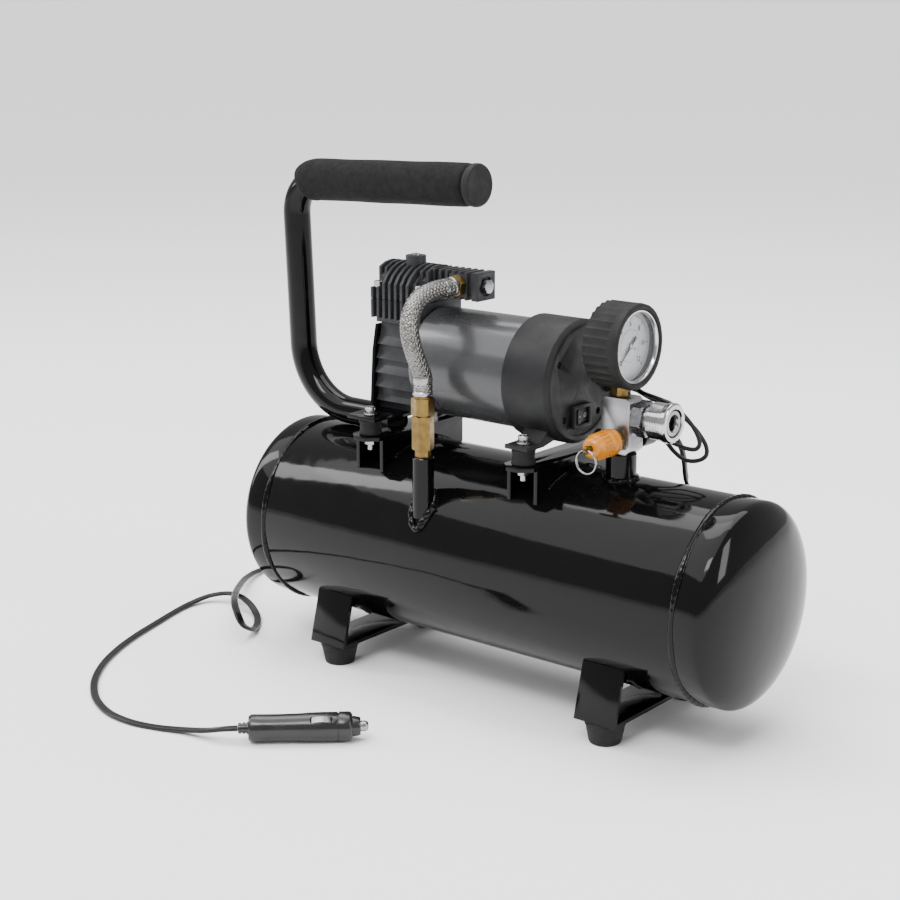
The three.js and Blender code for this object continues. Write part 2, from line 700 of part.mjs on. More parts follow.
const hoseStart = adapterFace - adapterLength - seat;
const hoseRoute = smooth([
  [adapterX, hoseStart, deliveryZ],
  [adapterX + 0.1, hoseStart - 14, deliveryZ],
  [-42.6, -45, deliveryZ - 0.7],
  [-41.8, -57, deliveryZ - 3.5],
  [-40.8, -66.5, deliveryZ - 9.9],
  [-39.6, -71.6, deliveryZ - 18.5],
  [-38.4, -72.4, deliveryZ - 29.5],
  [-37.2, -69, nutTop + 32],
  [-36.2, -64.6, nutTop + 21],
  [pipeX, pipeY, nutTop + 13],
  [pipeX, pipeY, nutTop + seat],
]);
const ferruleLength = 13;
function braidedHose() {
  return build(along(hoseRoute, 20, hoseRadius, 0, 12), {
    minus: [
      // the crimped ends are slimmer than the braid
      turnedZ([[ferruleRadius, 0], [hoseRadius + 2, 0], [hoseRadius + 2, ferruleLength], [ferruleRadius, ferruleLength],
        [ferruleRadius, 0]], 20).translate(pipeX, pipeY, nutTop + 2.5),
    ],
  });
}
add('braided_hose', braidedHose(), looks.steel);

const nutBottom = valveTop + seat;
add('hose_nut', rodZ(hexRadius(nutHex), hexRadius(nutHex), nutBottom, nutTop, pipeX, pipeY, 6), looks.brass);
const valveSmallHex = 10.4;
const valveStep = pipeTop + seat + 5.4;
add('check_valve', build(rodZ(hexRadius(valveHex), hexRadius(valveHex), valveStep, valveTop, pipeX, pipeY, 6), {
  plus: [
    rodZ(hexRadius(valveSmallHex), hexRadius(valveSmallHex), pipeTop + seat, valveStep + 1, pipeX, pipeY, 6),
    rodZ(4, 4, pipeTop - 8, pipeTop + 1, pipeX, pipeY, 16),
  ],
  minus: [rodZ(2.5, 2.5, pipeTop - 9, valveTop - 3, pipeX, pipeY, 12)],
}), looks.brass);
add('inlet_pipe', build(rodZ(pipeRadius, pipeRadius, pipeBottom, pipeTop, pipeX, pipeY, 24), {
  minus: [rodZ(pipeRadius - 3, pipeRadius - 3, pipeBottom - 1, pipeTop + 1, pipeX, pipeY, 16), tankBody()],
}), looks.tankPaint);

// ---- outlet: nipple on the tank and the drilled aluminium block ----
add('outlet_nipple', build(rodZ(nippleRadius, nippleRadius, tankTop - 3, blockBottom - seat, blockX, blockY, 28), {
  minus: [rodZ(blockBore + 1, blockBore + 1, tankTop - 9, blockBottom + 1, blockX, blockY, 16), tankBody()],
}), looks.tankPaint);
const blockTop = blockBottom + blockHeight;
const blockRight = blockX + blockWidth / 2;
const blockLeft = blockX - blockWidth / 2;
const blockFront = blockY - blockDepth / 2;
const blockBack = blockY + blockDepth / 2;
const gaugeX = blockX - 2;
function outletBlock() {
  const cut = 3;
  const outline = [
    [blockLeft + cut, blockBottom], [blockRight - cut, blockBottom], [blockRight, blockBottom + cut],
    [blockRight, blockTop - cut], [blockRight - cut, blockTop], [blockLeft + cut, blockTop],
    [blockLeft, blockTop - cut], [blockLeft, blockBottom + cut],
  ];
  return build(plateY(outline, blockFront, blockBack), {
    minus: [
      rodZ(blockBore, blockBore, blockBottom - 1, blockTop + 1, gaugeX, blockY, 16),
      rodX(blockBore, blockBore, blockX, blockRight + 1, blockY, couplerHeight, 16),
      rodX(couplerRecess, couplerRecess, blockRight - 2.5, blockRight + 1, blockY, couplerHeight, 28),
      rodY(4, 4, blockFront - 1, blockY, reliefX, reliefZ, 16),
      rodY(4, 4, blockY, blockBack + 1, reliefX, reliefZ, 16),
    ],
  });
}
add('outlet_block', outletBlock(), looks.aluminium);

// ---- pressure gauge, facing +X ----
const gauge = new THREE.Group();
gauge.position.set(0, blockY, gaugeCentre);
model.add(gauge);
const gaugeFront = gaugeBack + gaugeDepth;
const dialX = gaugeFront - 6.3;
const glassX = gaugeFront - 2;
const gaugeInner = gaugeRadius - gaugeWall;
function gaugeCase() {
  const stemTop = -gaugeRadius + 1.5;
  const stemBottom = blockTop - gaugeCentre;
  const hexLevel = stemBottom + seat;
  return build(turnedX([
    [0, gaugeBack], [gaugeRadius, gaugeBack], [gaugeRadius, gaugeFront], [gaugeInner, gaugeFront],
    [gaugeInner, gaugeBack + gaugeWall], [0, gaugeBack + gaugeWall],
  ], 32), {
    plus: [
      rodZ(hexRadius(13), hexRadius(13), hexLevel, stemTop, gaugeX, 0, 6),
      rodZ(blockBore - seat - 0.2, blockBore - seat - 0.2, stemBottom - 9, stemTop, gaugeX, 0, 16),
      rodX(3, 3, gaugeBack + 1, dialX - 0.6, 0, 0, 12), // the movement's post behind the dial
    ],
    minus: [rodX(1.5, 1.5, gaugeBack + 3, dialX, 0, 0, 12)],
  });
}
add('gauge_case', gaugeCase(), looks.steel, gauge);

// Rubber boot: a ribbed band with a rolled lip in front, slotted below for the stem.
function gaugeBoot() {
  const ribs = 30;
  const inner = gaugeRadius + seat;
  const outer = gaugeRadius + bootWall;
  const band = [];
  for (let i = 0; i < ribs; i += 1) {
    for (const [share, radius] of [[0, outer - 1.2], [0.35, outer - 1.2], [0.6, outer]]) {
      const turn = ((i + share) / ribs) * Math.PI * 2;
      band.push([radius * Math.cos(turn), radius * Math.sin(turn)]);
    }
  }
  return build(plateX(band, gaugeBack - 2.6, gaugeFront - 2), {
    plus: [turnedX([
      [0, gaugeFront - 5], [outer - 0.4, gaugeFront - 5], [outer + 0.3, gaugeFront - 1], [outer - 0.2, bootFront - 0.8],
      [outer - 1.8, bootFront], [0, bootFront],
    ], 32)],
    minus: [
      rodX(inner, inner, gaugeBack - seat, gaugeFront + seat, 0, 0, 32),
      rodX(gaugeInner, gaugeInner + 1.4, gaugeFront, bootFront + 0.1, 0, 0, 32),
      rodX(20, 20, gaugeBack - 4, gaugeBack + 1, 0, 0, 24),
      box(gaugeX - 8.2, gaugeX + 8.2, -8, 8, -outer - 2, -gaugeInner + 4),
    ],
  });
}
add('gauge_boot', gaugeBoot(), looks.rubber, gauge);

const dialRadius = gaugeInner - seat * 2;
add('gauge_dial', build(rodX(dialRadius, dialRadius, dialX, dialX + 0.8, 0, 0, 32), {
  minus: [rodX(1.5, 1.5, dialX - 1, dialX + 1, 0, 0, 12)],
}), looks.dial, gauge);
add('gauge_glass', rodX(dialRadius, dialRadius, glassX - 0.8, glassX + 0.8, 0, 0, 32), looks.glass, gauge);

// The needle turns on its spindle. At rest it points to the first mark, down and to the -Y side.
const needleRest = THREE.MathUtils.degToRad(222);
const needleLength = 18;
add('gauge_needle', build(plateX([
  [-9, -1.3], [-3, -0.9], [needleLength, -0.25], [needleLength, 0.25], [-3, 0.9], [-9, 1.3],
], dialX + 1.5, dialX + 2.3).rotateX(needleRest), {
  plus: [
    rodX(2, 2, dialX + 1.2, dialX + 2.8, 0, 0, 12),
    rodX(0.9, 0.9, dialX - 6, dialX + 2, 0, 0, 12),
  ],
}), looks.rubber, gauge);

// ---- safety valve on the front of the block ----
const relief = new THREE.Group();
relief.position.set(reliefX, blockFront - seat, reliefZ);
model.add(relief);
const hexLength = 7;
const capStart = -hexLength - seat;
const capEnd = capStart - capLength;
const spigotEnd = -20;
const stemTip = capEnd - 7;
add('relief_valve_body', build(rodY(hexRadius(reliefHex), hexRadius(reliefHex), -hexLength, 0, 0, 0, 6), {
  plus: [
    rodY(3.6, 3.6, -1, 6, 0, 0, 16),
    rodY(6, 6, spigotEnd, -hexLength + 1, 0, 0, 20),
  ],
  minus: [rodY(2.9, 2.9, spigotEnd - 1, -5, 0, 0, 16), rodY(1.6, 1.6, -6, 7, 0, 0, 12)],
}), looks.brass, relief);
const capHole = stemRadius + 0.5;
const capWall = 3.5;
const capProfile = [
  [capHole, capEnd + capWall], [capHole, capEnd], [capRadius - 3, capEnd], [capRadius, capEnd + 5],
  [capRadius, capStart], [capRadius - capWall, capStart], [capRadius - capWall, capEnd + capWall],
  [capHole, capEnd + capWall],
];
add('relief_valve_cap', turnedY(capProfile, 24), looks.yellow, relief);
const eyeY = stemTip + 2.6;
add('relief_valve_stem', build(rodY(stemRadius, stemRadius, stemTip + 4, -8, 0, 0, 16), {
  plus: [
    box(-1.4, 1.4, stemTip, stemTip + 6, -2.6, 2.6),
    rodY(4.6, 4.6, capEnd + 8.6, capEnd + 10.4, 0, 0, 20),
  ],
  minus: [rodX(1.25, 1.25, -3, 3, eyeY, 0, 12)],
}), looks.brass, relief);
add('relief_split_ring', new THREE.TorusGeometry(splitRing, splitWire, 6, 24)
  .rotateX(Math.PI / 2).translate(0, eyeY, -splitRing), looks.steel, relief);

// ---- quick coupler, along +X ----
const coupler = new THREE.Group();
coupler.position.set(blockRight, blockY, couplerHeight);
model.add(coupler);
const couplerHex = [2.3, 11.3];
const sleeveStart = couplerHex[1] + seat + sleeveTravel;
const sleeveEnd = 32;
add('coupler_body', build(rodX(hexRadius(24), hexRadius(24), couplerHex[0], couplerHex[1], 0, 0, 6), {
  plus: [
    rodX(7, 7, -2.2, couplerHex[0] + 1, 0, 0, 24),
    rodX(4.4, 4.4, -9, -1, 0, 0, 16),
    rodX(sleeveInner - 0.5, sleeveInner - 0.5, couplerHex[1] - 1, sleeveEnd - 0.6, 0, 0, 28),
  ],
  minus: [rodX(couplerBore, couplerBore, couplerHex[0] + 4, sleeveEnd + 1, 0, 0, 20), rodX(2.5, 2.5, -10, 8, 0, 0, 12)],
}), looks.steel, coupler);
add('coupler_sleeve', turnedX([
  [sleeveInner, sleeveStart], [sleeveRadius, sleeveStart], [sleeveRadius, sleeveEnd - 5.4],
  [sleeveRadius + 1.2, sleeveEnd - 4.4], [sleeveRadius + 1.2, sleeveEnd - 1.2], [sleeveRadius, sleeveEnd],
  [sleeveInner, sleeveEnd], [sleeveInner, sleeveStart],
], 32), looks.steel, coupler);

// ---- pressure switch behind the block, and the two wires from the motor ----
const switchFace = blockBack + seat;
const switchEnd = switchFace + 27;
add('pressure_switch', build(rodY(hexRadius(14), hexRadius(14), switchFace, switchFace + 5, reliefX, reliefZ, 6), {
  plus: [
    rodY(3.6, 3.6, switchFace - 5, switchFace + 1, reliefX, reliefZ, 16),
    rodY(switchRadius, switchRadius, switchFace + 4, switchEnd - 5, reliefX, reliefZ, 28),
    rodY(switchRadius, 4.6, switchEnd - 5, switchEnd, reliefX, reliefZ, 28),
  ],
}), looks.blackPlastic);

// The last figure of each point is its height above the coupler's axis.
const fromCoupler = (points) => smooth(points.map(([x, y, rise]) => [x, y, couplerHeight + rise]));
const wireStart = coverDisc + seat;
const wireEnd = reliefX + switchRadius + seat;
const wireA = fromCoupler([
  [wireStart, 27, 15], [78, 25, 17.5], [92, 22, 17], [104, 20.5, 13], [118, 20, 10.6], [129, 21, 7.5],
  [139.5, 21.5, 0], [147.5, 22, -8.5], [151.5, 22, -17], [149, 21.5, -22], [141, 21, -22.6], [129, 20.5, -20],
  [wireEnd, 20, -17.5],
]);
const wireB = fromCoupler([
  [wireStart, 31, 9], [78, 30, 12], [92, 28, 12.4], [105, 27, 8.6], [119, 27.5, 5], [131, 29, -1],
  [143, 30, -10], [152, 29.5, -20], [153.5, 28, -27.5], [147, 26.5, -32], [137, 26, -32.6], [128, 26, -28],
  [121, 26, -22], [wireEnd, 26, -18.5],
]);
add('motor_wire_a', along(wireA, 24, wireRadius, 0, 8), looks.rubber);
add('motor_wire_b', along(wireB, 26, wireRadius, 0, 8), looks.rubber);

// ---- power lead: leaves the switch, drops behind the tank, runs along the floor to the plug ----
const cordRest = cordRadius + 0.1;
const plugStart = [-67.6, -217.3];
const plugTurn = THREE.MathUtils.degToRad(plugAngle);
const reliefTail = 8.5; // moulded strain relief behind the plug's body
const cordEnd = [
  plugStart[0] - Math.cos(plugTurn) * (reliefTail + seat),
  plugStart[1] - Math.sin(plugTurn) * (reliefTail + seat),
];
// A point beside the tank: place along it, angle up from level, and distance off its skin.
function besideTank(x, degrees, clear) {
  const turn = THREE.MathUtils.degToRad(degrees);
  const reach = tankRadius + clear;
  return [x, reach * Math.cos(turn), tankAxis + reach * Math.sin(turn)];
}
const cordRoute = [
  [reliefX, switchEnd + seat, reliefZ],
  [reliefX, switchEnd + 4, reliefZ],
  [104.5, switchEnd + 9, reliefZ - 0.7],
  [110, 48.5, reliefZ - 3.5],
  [117, 50.5, reliefZ - 11.5],
  [121, 51, reliefZ - 22.5],
  besideTank(122.3, 53, 11.6),
  besideTank(122, 45, 5.8),
  besideTank(120.5, 33, 3.9),
  besideTank(119, 19, 3.2),
  besideTank(118, 4, 3.8),
  besideTank(117, -14, 7.4),
  besideTank(116, -32, 19.6),
  [113, 82, 25],
  [104, 86, 8],
  [84, 91, cordRest],
  [45, 97, cordRest],
  [0, 101, cordRest],
  [-50, 99, cordRest],
  [-100, 94, cordRest],
  [-150, 92, cordRest],
  [-200, 96, cordRest],
  [-250, 103, cordRest],
  [-295, 104, cordRest],
  [-326, 93, cordRest],
  [-337, 68, 4],
  [-324, 35, 8],
  [-293, -6, 16],
  [-263, -40, 23.5],
  [-240, -63, 27],
  [-226, -73.5, 24],
  [-221, -73, 16],
  [-223, -62, 8],
  [-230, -50, 4],
  [-240, -37, 3],
  [-252, -26, 4.5],
  [-268, -18, 8.5],
  [-286, -13, 10.5],
  [-303, -12, 9],
  [-315, -21, 6.5],
  [-319, -36, 4],
  [-317, -56, cordRest],
  [-306, -92, cordRest],
  [-296, -123, cordRest],
  [-284, -152, cordRest],
  [-268, -181, cordRest],
  [-248, -207, cordRest],
  [-226, -227, cordRest],
  [-205, -240, cordRest],
  [-182, -248, cordRest],
  [-158, -249, cordRest],
  [-137, -244, cordRest],
  [-116, -237, 4],
  [-96, -233, 7.5],
  [cordEnd[0] - 10 * Math.cos(plugTurn), cordEnd[1] - 10 * Math.sin(plugTurn), plugCollar - 0.3],
  [cordEnd[0], cordEnd[1], plugCollar + 0.1],
];
add('power_cord', throughPoints(cordRoute, cordRadius, 0, 8), looks.rubber);

// ---- accessory plug lying on the floor ----
const plug = new THREE.Group();
plug.position.set(plugStart[0], plugStart[1], plugCollar + 0.1);
plug.rotation.z = plugTurn;
model.add(plug);
const collarEnd = plugLength + 10.6;
const noseEnd = collarEnd + 5.8;
const contactAngle = THREE.MathUtils.degToRad(50);
const slot = [43, 59];
function plugBody() {
  const tipBore = 4.35;
  const contactSlot = box(slot[0], slot[1], -plugRadius - 2, plugRadius + 2, -2.4, 2.4).rotateX(Math.PI - contactAngle);
  return build(turnedX([
    [0, -reliefTail], [3.4, -reliefTail], [4.2, -1], [plugRadius - 1.6, -1], [plugRadius - 0.6, 1.4],
    [plugRadius - 0.9, 20], [plugRadius, 44], [plugRadius, plugLength], [plugRadius - 0.8, plugLength],
    [plugRadius - 0.8, plugLength + 0.8], [plugCollar, plugLength + 1], [plugCollar, collarEnd - 2],
    [plugCollar - 2, collarEnd], [7.4, collarEnd], [6.4, noseEnd], [0, noseEnd],
  ], 28), {
    minus: [
      rodX(tipBore, tipBore, plugLength, noseEnd + 1, 0, 0, 16),
      rodX(6, 6, plugLength + 0.4, plugLength + 8, 0, 0, 20),
      contactSlot,
    ],
  });
}
add('plug_body', plugBody(), looks.blackPlastic, plug);
add('plug_tip', build(turnedX([
  [0, plugLength + 4.2], [5.4, plugLength + 4.2], [5.4, plugLength + 6.6], [3.9, plugLength + 6.6],
  [3.9, noseEnd + 3.6], [2.6, noseEnd + 5.4], [0, noseEnd + 5.8],
], 20)), looks.steel, plug);
// One strip of spring steel lies across the body and shows at both sides.
const springStrip = build(box(slot[0] + 3, slot[1] - 3, -plugRadius - 0.6, plugRadius + 0.6, -1.9, 1.9), {
  minus: [
    box(slot[0] + 4.2, slot[1], -plugRadius + 1, plugRadius - 1, -3, 3),
    box(slot[1] - 5, slot[1], -plugRadius - 2, -plugRadius - 0.1, -3, 3),
    box(slot[1] - 5, slot[1], plugRadius + 0.1, plugRadius + 2, -3, 3),
  ],
});
add('plug_contact', springStrip.rotateX(Math.PI - contactAngle), looks.steel, plug);

export default model;
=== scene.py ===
from math import atan2, cos, pi, radians, sin, sqrt
import random

import bpy
from mathutils import Euler, Matrix, Vector


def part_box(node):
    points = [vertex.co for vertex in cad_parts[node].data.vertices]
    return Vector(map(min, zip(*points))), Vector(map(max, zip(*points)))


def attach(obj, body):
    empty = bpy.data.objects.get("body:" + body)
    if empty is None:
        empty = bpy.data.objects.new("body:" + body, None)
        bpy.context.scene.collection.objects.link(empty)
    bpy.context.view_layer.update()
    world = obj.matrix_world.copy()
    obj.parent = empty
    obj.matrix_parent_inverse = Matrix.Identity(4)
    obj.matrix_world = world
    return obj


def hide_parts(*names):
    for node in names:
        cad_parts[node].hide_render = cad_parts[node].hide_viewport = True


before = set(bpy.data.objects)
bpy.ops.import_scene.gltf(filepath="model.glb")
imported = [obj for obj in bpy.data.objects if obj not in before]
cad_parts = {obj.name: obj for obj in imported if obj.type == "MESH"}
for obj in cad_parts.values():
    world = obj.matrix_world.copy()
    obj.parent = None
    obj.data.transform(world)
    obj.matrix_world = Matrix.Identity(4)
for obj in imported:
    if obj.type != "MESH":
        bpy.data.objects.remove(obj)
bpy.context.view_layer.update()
BASE = "tank_set"
MM = 0.001

# ---- Places that several pieces share, in millimetres ----
# X runs along the tank towards the gauge, Y from the front to the rear and Z up from the floor.
foot_x = 128.35
mount_spots = (("left", -100), ("right", 47))
cylinder_x = -93.7
motor_at = (0, 0, 245.4)
delivery_z = 306.5
adapter_at = (-43.6, 0, delivery_z)
pipe_at = (-35.4, -62, 0)
stub_at = (100.5, -1, 0)
gauge_at = (0, -1, 277)
relief_at = (102.5, -10.3, 209.5)
coupler_at = (112.5, -1, 226)
switch_at = (102.5, 0, 209.5)

# ---- Camera: a little above the set, turned to look along the tank from its gauge end ----
# Its lens is a short telephoto, so that the near end isn't drawn too large.
bpy.ops.object.camera_add(location=(0.8111, -1.0729, 0.5237), rotation=(radians(75.81), 0, radians(39.07)))
camera = bpy.context.object
camera.data.lens = 73.16
camera.data.clip_start = 0.05
bpy.context.scene.camera = camera

# ---- Studio: a pale floor, a white surround, four large soft boxes and a broad sun ----
# The surround is dim in what the gloss paint mirrors, so that black paint stays black.
def feed(tree, node, inputs):
    """Gives a shader node's inputs plain values, or links them from the sockets of other nodes."""
    for title, value in inputs.items():
        if isinstance(value, bpy.types.NodeSocket):
            tree.links.new(value, node.inputs[title])
        else:
            node.inputs[title].default_value = value


def add_node(tree, kind, inputs, **settings):
    """A new shader node with its settings and its inputs."""
    node = tree.nodes.new(kind)
    for setting, value in settings.items():
        setattr(node, setting, value)
    feed(tree, node, inputs)
    return node


bpy.ops.object.select_all(action="DESELECT")
bpy.ops.mesh.primitive_plane_add(size=120)
floor = bpy.context.object
floor.name = "studio_floor"
floor_look = bpy.data.materials.new("studio_floor")
floor_look.use_nodes = True
feed(floor_look.node_tree, floor_look.node_tree.nodes["Principled BSDF"], {
    "Base Color": (0.96, 0.96, 0.96, 1), "Roughness": 0.95, "Specular IOR Level": 0.0,
})
floor.data.materials.append(floor_look)

surround = bpy.data.worlds.new("studio_surround")
bpy.context.scene.world = surround
surround.use_nodes = True
sky = surround.node_tree
sky_dim = sky.nodes["Background"]
feed(sky, sky_dim, {"Color": (1, 1, 1, 1), "Strength": 0.62})
sky_white = add_node(sky, "ShaderNodeBackground", {"Strength": 1.6})
sky_seen = add_node(sky, "ShaderNodeLightPath", {})
sky_mix = add_node(sky, "ShaderNodeMixShader", {
    "Fac": sky_seen.outputs["Is Camera Ray"], 1: sky_dim.outputs[0], 2: sky_white.outputs[0],
})
feed(sky, sky.nodes["World Output"], {"Surface": sky_mix.outputs[0]})


def soft_box(name, place, aim, size, power):
    """A rectangular studio light that faces the point it is aimed at."""
    bpy.ops.object.light_add(type="AREA", location=place)
    light = bpy.context.object
    light.name = name
    light.data.shape = "RECTANGLE"
    light.data.size = size[0]
    light.data.size_y = size[1]
    light.data.energy = power
    light.rotation_euler = (Vector(aim) - Vector(place)).to_track_quat("-Z", "Y").to_euler()


soft_box("key_light", (0.3, -1.6, 2.2), (0, 0, 0.15), (1.5, 0.6), 40)
soft_box("side_light", (2.2, 0.2, 1.1), (0, 0, 0.15), (0.5, 1.4), 20)
soft_box("left_light", (-1.9, -0.8, 1.3), (0, 0, 0.2), (0.4, 1.5), 20)
soft_box("top_light", (-0.2, 0.7, 2.3), (0, 0, 0.1), (2.6, 1.4), 50)
bpy.ops.object.light_add(type="SUN", rotation=(radians(18), radians(-12), 0))
room_light = bpy.context.object
room_light.name = "room_light"
room_light.data.energy = 2.9
room_light.data.angle = radians(75)


# ---- Power lead: flat twin cable, two cores side by side in one soft black jacket ----
# It leaves the pressure switch, drops behind the tank, runs along the floor, springs up in one
# pigtail at the left end and ends in the accessory plug.
def pick(piece):
    """Makes a piece the only selected one, and the active one."""
    bpy.ops.object.select_all(action="DESELECT")
    piece.select_set(True)
    bpy.context.view_layer.objects.active = piece


def smooth_path(points, step):
    """Points close together on a smooth curve through the given points."""
    ends = [points[0] * 2 - points[1], *points, points[-1] * 2 - points[-2]]
    path = []
    for a, b, c, d in zip(ends, ends[1:], ends[2:], ends[3:]):
        pieces = max(2, round((c - b).length / step))
        for i in range(pieces):
            t = i / pieces
            bend = (a * 2 - b * 5 + c * 4 - d) * t * t
            twist = (b * 3 - a - c * 3 + d) * t * t * t
            path.append((b * 2 + (c - a) * t + bend + twist) / 2)
    path.append(points[-1].copy())
    return path


def sweep(name, path, section, upright=Vector((0, 0, 1)), scale=lambda share: 1.0):
    """A closed bar along a path. The section's first figure lies sideways and its second towards upright."""
    verts, faces, spots = [], [], []
    last = len(path) - 1
    side = None
    run = 0.0
    for i, point in enumerate(path):
        ahead = (path[min(i + 1, last)] - path[max(i - 1, 0)]).normalized()
        wish = ahead.cross(upright)
        if side is None:
            side = wish.normalized() if wish.length > 0.2 else ahead.orthogonal().normalized()
        side = (side - ahead * side.dot(ahead)).normalized()
        if wish.length > 0.35:
            wish = wish.normalized()
            wish = wish if wish.dot(side) > 0 else -wish
            side = (side * 0.7 + wish * 0.3).normalized()
        up = side.cross(ahead).normalized()
        run += (point - path[i - 1]).length if i else 0.0
        size = scale(i / last)
        for a, b in section:
            verts.append(point + side * a * size + up * b * size)
        spots.append(run)
    n = len(section)
    for i in range(last):
        for k in range(n):
            faces.append((i * n + k, i * n + (k + 1) % n, (i + 1) * n + (k + 1) % n, (i + 1) * n + k))
    faces.append(tuple(reversed(range(n))))
    faces.append(tuple(last * n + k for k in range(n)))
    mesh = bpy.data.meshes.new(name)
    mesh.from_pydata(verts, [], faces)
    layer = mesh.uv_layers.new(name="along")
    for face in mesh.polygons[: last * n]:
        around = face.index % n
        for corner, loop in enumerate(face.loop_indices):
            ring = mesh.loops[loop].vertex_index // n
            turn = around + (1 if corner in (1, 2) else 0)
            layer.data[loop].uv = (turn / n, spots[ring])
    piece = bpy.data.objects.new(name, mesh)
    bpy.context.scene.collection.objects.link(piece)
    pick(piece)
    bpy.ops.object.mode_set(mode="EDIT")
    bpy.ops.mesh.select_all(action="SELECT")
    bpy.ops.mesh.normals_make_consistent(inside=False)
    bpy.ops.object.mode_set(mode="OBJECT")
    bpy.ops.object.shade_smooth_by_angle(angle=radians(45))
    return piece


def ring_of(radius, sides=16):
    """A round section."""
    return [(radius * cos(2 * pi * k / sides), radius * sin(2 * pi * k / sides)) for k in range(sides)]


def patchy_surface_group():
    """Colour, roughness and bump of a worked surface, as one group that every material uses."""
    group = bpy.data.node_groups.new("worked_surface", "ShaderNodeTree")
    for title, kind, value in (
        ("Colour", "Color", (0.5, 0.5, 0.5, 1)),
        ("Second Colour", "Color", (0.4, 0.4, 0.4, 1)),
        ("Patch Scale", "Float", 40),
        ("Roughness Low", "Float", 0.3),
        ("Roughness High", "Float", 0.5),
        ("Stretch", "Vector", (1, 1, 1)),
        ("Grain Scale", "Float", 900),
        ("Grain Height", "Float", 0.00002),
        ("Wave Scale", "Float", 30),
        ("Wave Height", "Float", 0.0),
    ):
        socket = group.interface.new_socket(title, in_out="INPUT", socket_type="NodeSocket" + kind)
        socket.default_value = value
    for title, kind in (("Colour", "Color"), ("Roughness", "Float"), ("Normal", "Vector")):
        group.interface.new_socket(title, in_out="OUTPUT", socket_type="NodeSocket" + kind)
    given = add_node(group, "NodeGroupInput", {})
    where = add_node(group, "ShaderNodeTexCoord", {})
    stretched = add_node(group, "ShaderNodeVectorMath", {
        0: where.outputs["Object"], 1: given.outputs["Stretch"],
    }, operation="MULTIPLY")
    patches = add_node(group, "ShaderNodeTexNoise", {
        "Vector": stretched.outputs[0], "Scale": given.outputs["Patch Scale"], "Detail": 6,
        "Roughness": 0.62,
    })
    spread = add_node(group, "ShaderNodeMapRange", {
        "Value": patches.outputs["Fac"], "From Min": 0.35, "From Max": 0.68,
    })
    tint = add_node(group, "ShaderNodeMix", {
        "Factor": spread.outputs[0], "A": given.outputs["Colour"], "B": given.outputs["Second Colour"],
    }, data_type="RGBA")
    smear_scale = add_node(group, "ShaderNodeMath", {
        0: given.outputs["Patch Scale"], 1: 2.3,
    }, operation="MULTIPLY")
    smears = add_node(group, "ShaderNodeTexNoise", {
        "Vector": stretched.outputs[0], "Scale": smear_scale.outputs[0], "Detail": 4,
    })
    sheen = add_node(group, "ShaderNodeMapRange", {
        "Value": smears.outputs["Fac"], "From Min": 0.3, "From Max": 0.7,
        "To Min": given.outputs["Roughness Low"], "To Max": given.outputs["Roughness High"],
    })
    grain = add_node(group, "ShaderNodeTexNoise", {
        "Vector": stretched.outputs[0], "Scale": given.outputs["Grain Scale"], "Detail": 3,
    })
    wave = add_node(group, "ShaderNodeTexNoise", {
        "Vector": where.outputs["Object"], "Scale": given.outputs["Wave Scale"], "Detail": 1,
    })
    coarse = add_node(group, "ShaderNodeBump", {
        "Strength": 1.0, "Height": wave.outputs["Fac"], "Distance": given.outputs["Wave Height"],
    })
    fine = add_node(group, "ShaderNodeBump", {
        "Strength": 1.0, "Height": grain.outputs["Fac"], "Distance": given.outputs["Grain Height"],
        "Normal": coarse.outputs[0],
    })
    add_node(group, "NodeGroupOutput", {
        "Colour": tint.outputs["Result"], "Roughness": sheen.outputs[0], "Normal": fine.outputs[0],
    })
    return group


worked_surface = patchy_surface_group()


def look(name, colour, second, roughness, grain, wave=(30, 0.0), patch=40, stretch=(1, 1, 1),
         metallic=0.0, **own):
    """A material: two colours in soft patches, a range of roughness, a fine grain and a slow wave."""
    made = bpy.data.materials.new(name)
    made.use_nodes = True
    surface = add_node(made.node_tree, "ShaderNodeGroup", {
        "Colour": (*colour, 1), "Second Colour": (*second, 1), "Patch Scale": patch, "Stretch": stretch,
        "Roughness Low": roughness[0], "Roughness High": roughness[1],
        "Grain Scale": grain[0], "Grain Height": grain[1], "Wave Scale": wave[0], "Wave Height": wave[1],
    }, name="worked_surface", node_tree=worked_surface)
    feed(made.node_tree, made.node_tree.nodes["Principled BSDF"], {
        "Base Color": surface.outputs["Colour"], "Roughness": surface.outputs["Roughness"],
        "Normal": surface.outputs["Normal"], "Metallic": metallic,
        **{title.replace("_", " "): value for title, value in own.items()},
    })
    return made


def settle(piece, material, body=BASE, stands_for=()):
    """Gives a finished piece its material and the body that it moves with."""
    piece.data.materials.clear()
    piece.data.materials.append(material)
    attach(piece, body)
    if stands_for:
        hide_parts(*stands_for)
    return piece


tank_low, tank_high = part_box("tank_shell")
tank_radius = (tank_high.y - tank_low.y) / 2
tank_axis = (tank_high.z + tank_low.z) / 2
switch_low, switch_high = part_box("pressure_switch")
lead_x = (switch_low.x + switch_high.x) / 2
lead_z = (switch_low.z + switch_high.z) / 2


def beside_tank(x, angle, clear):
    """A point beside the tank: place along it, angle up from level, and distance off its skin."""
    reach = tank_radius + clear * MM
    return Vector((x * MM, reach * cos(radians(angle)), tank_axis + reach * sin(radians(angle))))


